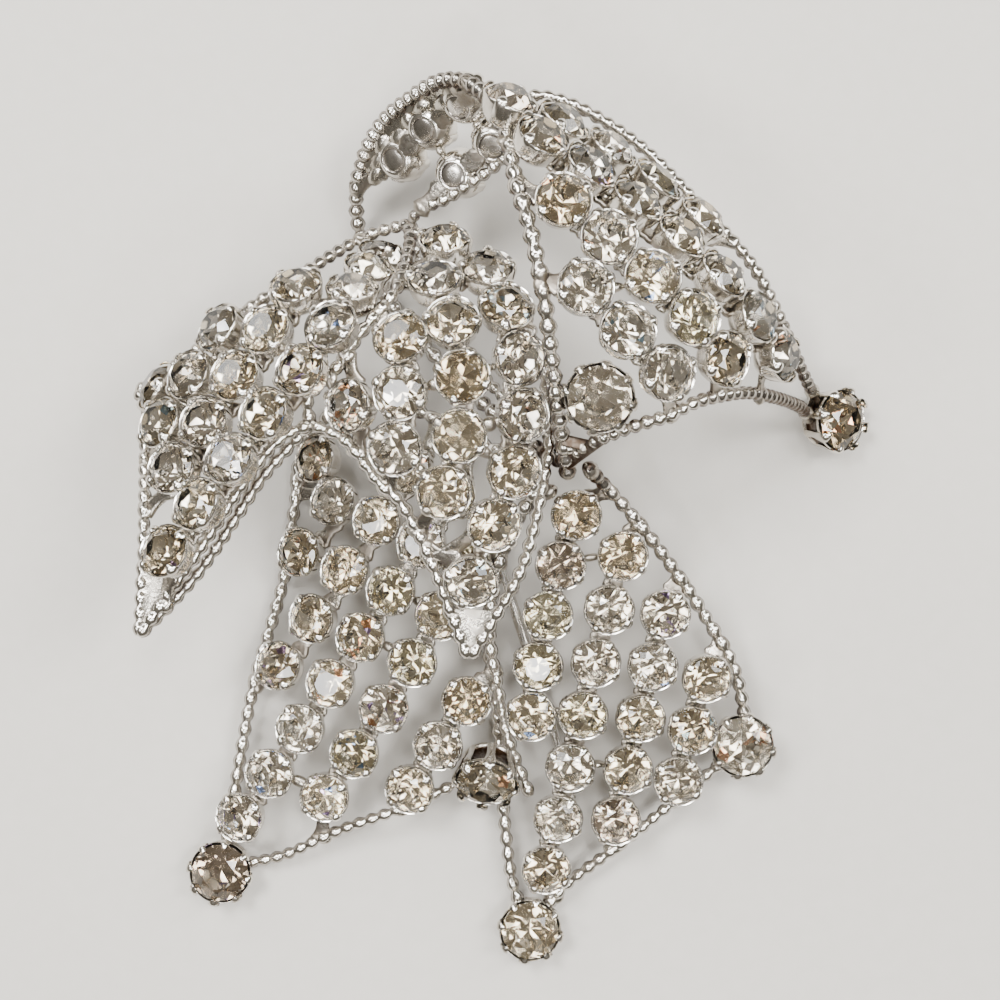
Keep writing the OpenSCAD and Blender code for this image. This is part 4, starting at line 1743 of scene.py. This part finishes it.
@dataclass(frozen=True)
class Surface:
    """What all the finishes share: a name, and a material that starts empty."""

    name: str

    def blank(self) -> bpy.types.Material:
        """A new material to fill.

        Returns:
            A material of this name with an empty node tree.
        """
        material = bpy.data.materials.new(self.name)
        material.use_nodes = True
        material.node_tree.nodes.clear()
        return material

    def make(self) -> bpy.types.Material:
        """The finish as a material."""
        raise NotImplementedError


@dataclass(frozen=True)
class PlatedMetal(Surface):
    """Plating over cast, drawn or soldered base metal: bright, slightly warm grey, with brown
    tarnish in the corners that polishing never reaches, and the same brown as painted shade in
    the necks, on beads' sides, inside cups and round the knot."""

    bright: str = "#E6E2DB"
    worn: str = "#B8B1A6"
    # The dark brown of tarnish, also used as painted shade
    tarnish_and_shade: str = "#3B2A1D"
    # Where it is bright, and where it is worn, tarnished or darkened by painted shade
    roughness: tuple[float, float] = (0.12, 0.3)
    # Size and strength of the ripples that casting and soldering leave
    ripple_mm: float = 0.55
    ripple: float = 0.05
    ripple_depth: float = 0.0002
    # Size of the worn patches, and the noise at which they start and are full
    wear_mm: float = 2.6
    wear: tuple[float, float] = (0.42, 0.72)
    # How much the ripples break up the edge of the tarnish and painted shade
    grain: float = 0.7

    def make(self) -> bpy.types.Material:
        """The finish as a material.

        Returns:
            A material whose colour runs from bright to worn with a broad noise and to the
            dark brown of tarnish and painted shade with the tone on the corners, and whose
            roughness follows both.
        """
        material = self.blank()
        tree = material.node_tree
        where = add_node(tree, "ShaderNodeTexCoord").outputs["Object"]
        broad = add_node(tree, "ShaderNodeTexNoise", {"Scale": pattern_scale(self.wear_mm), "Detail": 3.0},
                         {"Vector": where})
        fine = add_node(tree, "ShaderNodeTexNoise", {"Scale": pattern_scale(self.ripple_mm), "Detail": 2.0},
                        {"Vector": where})
        tone = add_node(tree, "ShaderNodeAttribute", {"attribute_name": TONE})
        split = add_node(tree, "ShaderNodeSeparateColor", {}, {"Color": tone.outputs["Color"]})
        wear = add_node(tree, "ShaderNodeMapRange", {"From Min": self.wear[0], "From Max": self.wear[1]},
                        {"Value": broad.outputs["Fac"]})
        base = add_node(tree, "ShaderNodeMix",
                        {"data_type": "RGBA", MIX_FIRST: colour(self.bright), MIX_SECOND: colour(self.worn)},
                        {MIX_SHARE: wear.outputs["Result"]})
        grain = add_node(tree, "ShaderNodeMath",
                         {"operation": "MULTIPLY_ADD", 1: self.grain, 2: -self.grain / 2},
                         {0: fine.outputs["Fac"]})
        # The tone's tarnish and painted shade, its edge broken up by the ripples
        grained_tone = add_node(tree, "ShaderNodeMath", {"operation": "ADD", "use_clamp": True},
                        {0: split.outputs["Red"], 1: grain.outputs[0]})
        tarnish_and_shade_share = add_node(tree, "ShaderNodeMath", {"operation": "MULTIPLY", "use_clamp": True},
                         {0: grained_tone.outputs[0], 1: split.outputs["Red"]})
        full = add_node(tree, "ShaderNodeMix", {"data_type": "RGBA", MIX_SECOND: colour(self.tarnish_and_shade)},
                        {MIX_SHARE: tarnish_and_shade_share.outputs[0], MIX_FIRST: base.outputs[MIX_COLOUR]})
        matt = add_node(tree, "ShaderNodeMath", {"operation": "MAXIMUM"},
                        {0: tarnish_and_shade_share.outputs[0], 1: wear.outputs["Result"]})
        rough = add_node(tree, "ShaderNodeMapRange",
                         {"To Min": self.roughness[0], "To Max": self.roughness[1]},
                         {"Value": matt.outputs[0]})
        bump = add_node(tree, "ShaderNodeBump", {"Strength": self.ripple, "Distance": self.ripple_depth},
                        {"Height": fine.outputs["Fac"]})
        shader = add_node(tree, "ShaderNodeBsdfPrincipled", {"Metallic": 1.0},
                          {"Base Color": full.outputs[MIX_COLOUR], "Roughness": rough.outputs["Result"],
                           "Normal": bump.outputs["Normal"]})
        add_node(tree, "ShaderNodeOutputMaterial", {}, {"Surface": shader.outputs["BSDF"]})
        return material


@dataclass(frozen=True)
class CutGlass(Surface):
    """Machine-cut crystal glass: clear, faintly tinted, with sharp polished facets that
    flash white and let the foil behind them show."""

    name: str = "cut crystal glass"
    roughness: float = 0.015
    ior: float = 1.56

    def make(self) -> bpy.types.Material:
        """The finish as a material.

        Returns:
            Clear glass that takes its tint from the tone on the corners.
        """
        material = self.blank()
        tree = material.node_tree
        tone = add_node(tree, "ShaderNodeAttribute", {"attribute_name": TONE})
        shader = add_node(tree, "ShaderNodeBsdfPrincipled",
                          {"Transmission Weight": 1.0, "Roughness": self.roughness, "IOR": self.ior},
                          {"Base Color": tone.outputs["Color"]})
        add_node(tree, "ShaderNodeOutputMaterial", {}, {"Surface": shader.outputs["BSDF"]})
        return material


@dataclass(frozen=True)
class MirrorFoil(Surface):
    """The silvered foil on the back of a rhinestone: a mirror, gone patchy with age, so that
    some facets flash and others stay grey."""

    name: str = "silvered foil backing"
    roughness: tuple[float, float] = (0.05, 0.14)
    # Size of the dull patches, and the noise at which they start and are full
    patch_mm: float = 1.1
    patch: tuple[float, float] = (0.45, 0.7)

    def make(self) -> bpy.types.Material:
        """The finish as a material.

        Returns:
            A mirror in the facet's own tone, with dull patches.
        """
        material = self.blank()
        tree = material.node_tree
        where = add_node(tree, "ShaderNodeTexCoord").outputs["Object"]
        patches = add_node(tree, "ShaderNodeTexNoise", {"Scale": pattern_scale(self.patch_mm), "Detail": 3.0},
                           {"Vector": where})
        tone = add_node(tree, "ShaderNodeAttribute", {"attribute_name": TONE})
        rough = add_node(tree, "ShaderNodeMapRange",
                         {"From Min": self.patch[0], "From Max": self.patch[1],
                          "To Min": self.roughness[0], "To Max": self.roughness[1]},
                         {"Value": patches.outputs["Fac"]})
        shader = add_node(tree, "ShaderNodeBsdfPrincipled", {"Metallic": 1.0},
                          {"Base Color": tone.outputs["Color"], "Roughness": rough.outputs["Result"]})
        add_node(tree, "ShaderNodeOutputMaterial", {}, {"Surface": shader.outputs["BSDF"]})
        return material


@dataclass(frozen=True)
class TableTop(Surface):
    """The plain pale table under the brooch: painted board, matt and almost even."""

    name: str = "pale matt table"
    pale: str = "#BFBBB4"
    dull: str = "#B8B4AC"
    grain_mm: float = 1.5
    roughness: float = 0.75

    def make(self) -> bpy.types.Material:
        """The finish as a material.

        Returns:
            One pale colour, varied by a few per cent.
        """
        material = self.blank()
        tree = material.node_tree
        where = add_node(tree, "ShaderNodeTexCoord").outputs["Object"]
        grain = add_node(tree, "ShaderNodeTexNoise", {"Scale": pattern_scale(self.grain_mm), "Detail": 4.0},
                         {"Vector": where})
        base = add_node(tree, "ShaderNodeMix",
                        {"data_type": "RGBA", MIX_FIRST: colour(self.pale), MIX_SECOND: colour(self.dull)},
                        {MIX_SHARE: grain.outputs["Fac"]})
        shader = add_node(tree, "ShaderNodeBsdfPrincipled", {"Roughness": self.roughness},
                          {"Base Color": base.outputs[MIX_COLOUR]})
        add_node(tree, "ShaderNodeOutputMaterial", {}, {"Surface": shader.outputs["BSDF"]})
        return material


@dataclass(frozen=True)
class GlassTint:
    """One tint of stone: the colour of its glass and of its foil, and its share of them all."""

    glass: str
    foil: str
    share: float


@dataclass(frozen=True)
class StoneTints:
    """The glass and foil of each Tint, in its order, and the painted glints: crown facets coloured like the
    fire of a flash.
    """

    kinds: tuple[GlassTint, ...] = (
        GlassTint("#FEFDFA", "#FAF6EE", 0.36),
        GlassTint("#FEFCF6", "#F7F1E4", 0.3),
        GlassTint("#FDFAF2", "#F1E9D9", 0.12),
        GlassTint("#FCFAF6", "#E8E0D6", 0.1),
        GlassTint("#FDFBF4", "#F5F1E2", 0.12),
    )
    # Painted glints: colours of fire put on a few crown facets
    painted_glints: tuple[str, ...] = ("#5F8BFF", "#FFA46B", "#8FC4FF", "#A98BFF", "#FFB48C")
    painted_glint_share: float = 0.014
    # How much darker a foil facet may be, and how its red, green and blue follow
    shade: tuple[float, float] = (0.62, 1.0)
    browning: Triple = (0.9, 1.0, 1.15)


TINTS = StoneTints()
FINISHES: dict[Finish, Surface] = {
    # Barrel-polished before it was plated: beads and prongs mirror their surroundings
    Finish.PLATING: PlatedMetal("bright rhodium-toned plating"),
    # Run on by hand and plated over: greyer, lumpier and duller than the beads
    Finish.SOLDER: PlatedMetal(
        "plated solder and rails", bright="#BDB8AE", worn="#978E82", roughness=(0.2, 0.42),
        ripple_mm=0.4, ripple=0.2,
    ),
    # Pressed and polished with sharp facets over a silvered back
    Finish.CROWN_GLASS: CutGlass(),
    Finish.FOIL: MirrorFoil(),
    # Drawn through a die and plated: straight, even and hardly rippled
    Finish.PIN_STEEL: PlatedMetal(
        "drawn plated pin wire", bright="#D6D4D0", worn="#B4AEA4", tarnish_and_shade="#3A2C20",
        roughness=(0.15, 0.3), ripple_mm=0.4, ripple=0.03,
    ),
}
_made: dict[Finish, bpy.types.Material] = {}


def finish_material(finish: Finish) -> bpy.types.Material:
    """The one material of a finish, made when it is first asked for.

    Args:
        finish: The finish.

    Returns:
        Its material.
    """
    if finish not in _made:
        _made[finish] = FINISHES[finish].make()
    return _made[finish]


def cut_stones(cut: StoneCut, places: Places, seed: int, tint: Tint | None = None) -> Skin:
    """Cut stones at their places, each turned and tinted by chance.

    Every crown facet takes the stone's glass tint, or now and then a painted glint: the
    colour of a fiery flash. Every pavilion facet takes the foil's colour times a chance, which
    is raised to one power for each of red, green and blue, so that the darker facets are browner.

    Args:
        cut: The stones' cut.
        places: Where their edges' middles are.
        seed: Seed of the chance.
        tint: Which tint all of them have; None leaves it to chance.

    Returns:
        All the stones as one skin.
    """
    rng = np.random.default_rng(seed + STONE_CHANCE)
    skin = cut.skin().copied(places.spun(rng))
    n, faces = len(places.points), len(cut.skin().sizes)
    shares = np.array([kind.share for kind in TINTS.kinds])
    if tint is None:
        chosen = rng.choice(len(shares), n, p=shares / shares.sum())
    else:
        chosen = np.full(n, tint.value)
    glass = np.stack([srgb(kind.glass) for kind in TINTS.kinds])[chosen]
    silver = np.stack([srgb(kind.foil) for kind in TINTS.kinds])[chosen]
    foil = skin.finish.reshape(n, faces) == Finish.FOIL.value
    shade = rng.uniform(*TINTS.shade, (n, faces, 1)) ** np.array(TINTS.browning)
    facet = np.where(foil[:, :, None], silver[:, None, :] * shade, glass[:, None, :])
    painted_glints = np.stack([srgb(code) for code in TINTS.painted_glints])[rng.integers(0, len(TINTS.painted_glints), (n, faces))]
    crown = ~foil & (np.arange(faces) > 0)
    # Painted glints: a few crown facets take the colour of fire
    painted_glint = crown & (rng.uniform(size=(n, faces)) < TINTS.painted_glint_share)
    facet = np.where(painted_glint[:, :, None], painted_glints, facet).reshape(-1, 3)
    return replace(skin, tone=np.repeat(facet, skin.sizes, axis=0))


# Putting pieces into the scene

# Edges that turn more than this stay sharp
SHARP_DEGREES = 55.0


def put_piece(name: str, skin: Skin, node: str) -> bpy.types.Object:
    """Makes a piece of the brooch from its skin.

    The points go from the drawing's millimetres to the frame's metres; its object sits at
    the origin, and it stands for one CAD node.

    Args:
        name: The piece's name.
        skin: Its surface, in the drawing's millimetres.
        node: The CAD node that it stands for.

    Returns:
        The new object.
    """
    mesh = bpy.data.meshes.new(name)
    mesh.vertices.add(len(skin.points))
    placed = (skin.points - MIDDLE) * MILLIMETRE
    mesh.vertices.foreach_set("co", placed.astype(np.float32).reshape(-1))
    mesh.loops.add(len(skin.corners))
    mesh.loops.foreach_set("vertex_index", skin.corners.astype(np.int32))
    mesh.polygons.add(len(skin.sizes))
    starts = np.concatenate([[0], np.cumsum(skin.sizes)[:-1]]).astype(np.int32)
    mesh.polygons.foreach_set("loop_start", starts)
    used = sorted(set(int(f) for f in skin.finish))
    for number in used:
        mesh.materials.append(finish_material(Finish(number)))
    mesh.polygons.foreach_set("material_index", np.searchsorted(used, skin.finish).astype(np.int32))
    mesh.polygons.foreach_set("use_smooth", skin.smooth)
    mesh.update(calc_edges=True)
    tone = mesh.color_attributes.new(TONE, "FLOAT_COLOR", "CORNER")
    opaque = np.column_stack([skin.tone, np.ones(len(skin.tone))])
    tone.data.foreach_set("color", opaque.astype(np.float32).reshape(-1))
    mesh.validate()
    if skin.smooth.any():
        mesh.set_sharp_from_angle(angle=np.radians(SHARP_DEGREES))
    piece = bpy.data.objects.new(name, mesh)
    bpy.context.scene.collection.objects.link(piece)
    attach(piece, "root")
    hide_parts(node)
    triangles = int(np.sum(skin.sizes - 2))
    LOG.info("%s: %d points, %d triangles", name, len(skin.points), triangles)
    return piece


@dataclass(frozen=True)
class SoftBox:
    """A soft lamp: where it hangs and its width and depth in metres, and its watts."""

    x: float
    y: float
    z: float
    width: float
    depth: float
    watts: float


@dataclass
class Studio:
    """The pale table, the soft lamps and the camera straight above the brooch."""

    lamps: tuple[SoftBox, ...] = (
        SoftBox(-0.16, 0.17, 0.44, 0.14, 0.14, 3.3),
        SoftBox(0.22, 0.08, 0.42, 0.1, 0.14, 1.6),
        SoftBox(-0.06, -0.22, 0.42, 0.1, 0.07, 0.9),
        SoftBox(0.17, -0.2, 0.4, 0.08, 0.08, 0.5),
        SoftBox(-0.3, -0.03, 0.38, 0.1, 0.1, 0.8),
        SoftBox(0.05, 0.12, 0.5, 0.08, 0.06, 0.9),
        SoftBox(0.03, -0.1, 0.5, 0.05, 0.04, 0.4),
        SoftBox(0.14, -0.06, 0.48, 0.05, 0.04, 0.3),
        SoftBox(0.36, 0.18, 0.3, 0.12, 0.25, 1.1),
        SoftBox(-0.3, 0.3, 0.24, 0.2, 0.16, 1.0),
    )
    # In the frame's millimetres
    camera_at: Triple = (-0.95, 2.88, 160.0)
    # The photograph's focal length over its width, and the camera's picture in millimetres
    focal_share: float = 1755 / 1000
    sensor: float = 36.0
    # The nearest and the farthest that the camera sees, in metres
    clip: tuple[float, float] = (0.01, 10.0)
    # The sky's colour at its foot and high up, and the heights between which it changes
    sky: tuple[str, str] = ("#5C5850", "#938E87")
    sky_rise: tuple[float, float] = (0.1, 0.8)
    # The table: half its width, its squares along a side, and how far it lies under the brooch
    table_half: float = 4.0
    table_squares: int = 12
    table_gap: float = 0.00002

    def table(self) -> None:
        """A level table top as a grid of squares under the brooch."""
        n = self.table_squares
        line = np.linspace(-self.table_half, self.table_half, n + 1)
        x, y = np.meshgrid(line, line)
        points = np.stack([x.reshape(-1), y.reshape(-1), np.full(x.size, -self.table_gap)], axis=1)
        base = (np.arange(n)[:, None] * (n + 1) + np.arange(n)[None, :]).reshape(-1)
        quads = np.stack([base, base + 1, base + n + 2, base + n + 1], axis=1)
        mesh = bpy.data.meshes.new("table_top")
        mesh.from_pydata(points.tolist(), [], quads.tolist())
        mesh.materials.append(TableTop().make())
        table = bpy.data.objects.new("table_top", mesh)
        bpy.context.scene.collection.objects.link(table)

    def light(self) -> None:
        """Soft lamps that face the brooch."""
        for i, box in enumerate(self.lamps):
            data = bpy.data.lights.new(f"softbox_{i}", "AREA")
            data.shape = "RECTANGLE"
            data.size, data.size_y, data.energy = box.width, box.depth, box.watts
            lamp = bpy.data.objects.new(f"softbox_{i}", data)
            lamp.location = Vector((box.x, box.y, box.z))
            lamp.rotation_mode = "QUATERNION"
            lamp.rotation_quaternion = lamp.location.to_track_quat("Z", "Y")
            bpy.context.scene.collection.objects.link(lamp)

    def backdrop(self) -> None:
        """A sky that is dim at its foot and brighter high up."""
        world = bpy.data.worlds.new("studio_sky")
        world.use_nodes = True
        tree = world.node_tree
        where = add_node(tree, "ShaderNodeTexCoord").outputs["Object"]
        parts = add_node(tree, "ShaderNodeSeparateXYZ", {}, {"Vector": where})
        high = add_node(tree, "ShaderNodeMapRange",
                        {"From Min": self.sky_rise[0], "From Max": self.sky_rise[1]},
                        {"Value": parts.outputs["Z"]})
        low_colour, high_colour = (colour(code) for code in self.sky)
        mixed = add_node(tree, "ShaderNodeMix",
                         {"data_type": "RGBA", MIX_FIRST: low_colour, MIX_SECOND: high_colour},
                         {MIX_SHARE: high.outputs["Result"]})
        tree.links.new(mixed.outputs[MIX_COLOUR], tree.nodes["Background"].inputs["Color"])
        bpy.context.scene.world = world

    def camera(self) -> None:
        """A camera straight above, with the photograph's distance and field of view."""
        data = bpy.data.cameras.new("camera")
        data.sensor_width, data.lens = self.sensor, self.focal_share * self.sensor
        data.clip_start, data.clip_end = self.clip
        camera = bpy.data.objects.new("camera", data)
        camera.location = tuple(c * MILLIMETRE for c in self.camera_at)
        bpy.context.scene.collection.objects.link(camera)
        bpy.context.scene.camera = camera

    def build(self) -> None:
        """Sets up the whole studio."""
        self.table()
        self.light()
        self.backdrop()
        self.camera()


def main() -> None:
    """Builds the brooch's parts in order, then the studio."""
    logging.basicConfig(level=logging.INFO, format="%(name)s: %(message)s")
    for part in (RightLoop(), LeftWing(), LeftTail(), RightTail(), BackPin()):
        part.build()
        LOG.info("built %s", type(part).__name__)
    Studio().build()


if __name__ == "__main__":
    main()
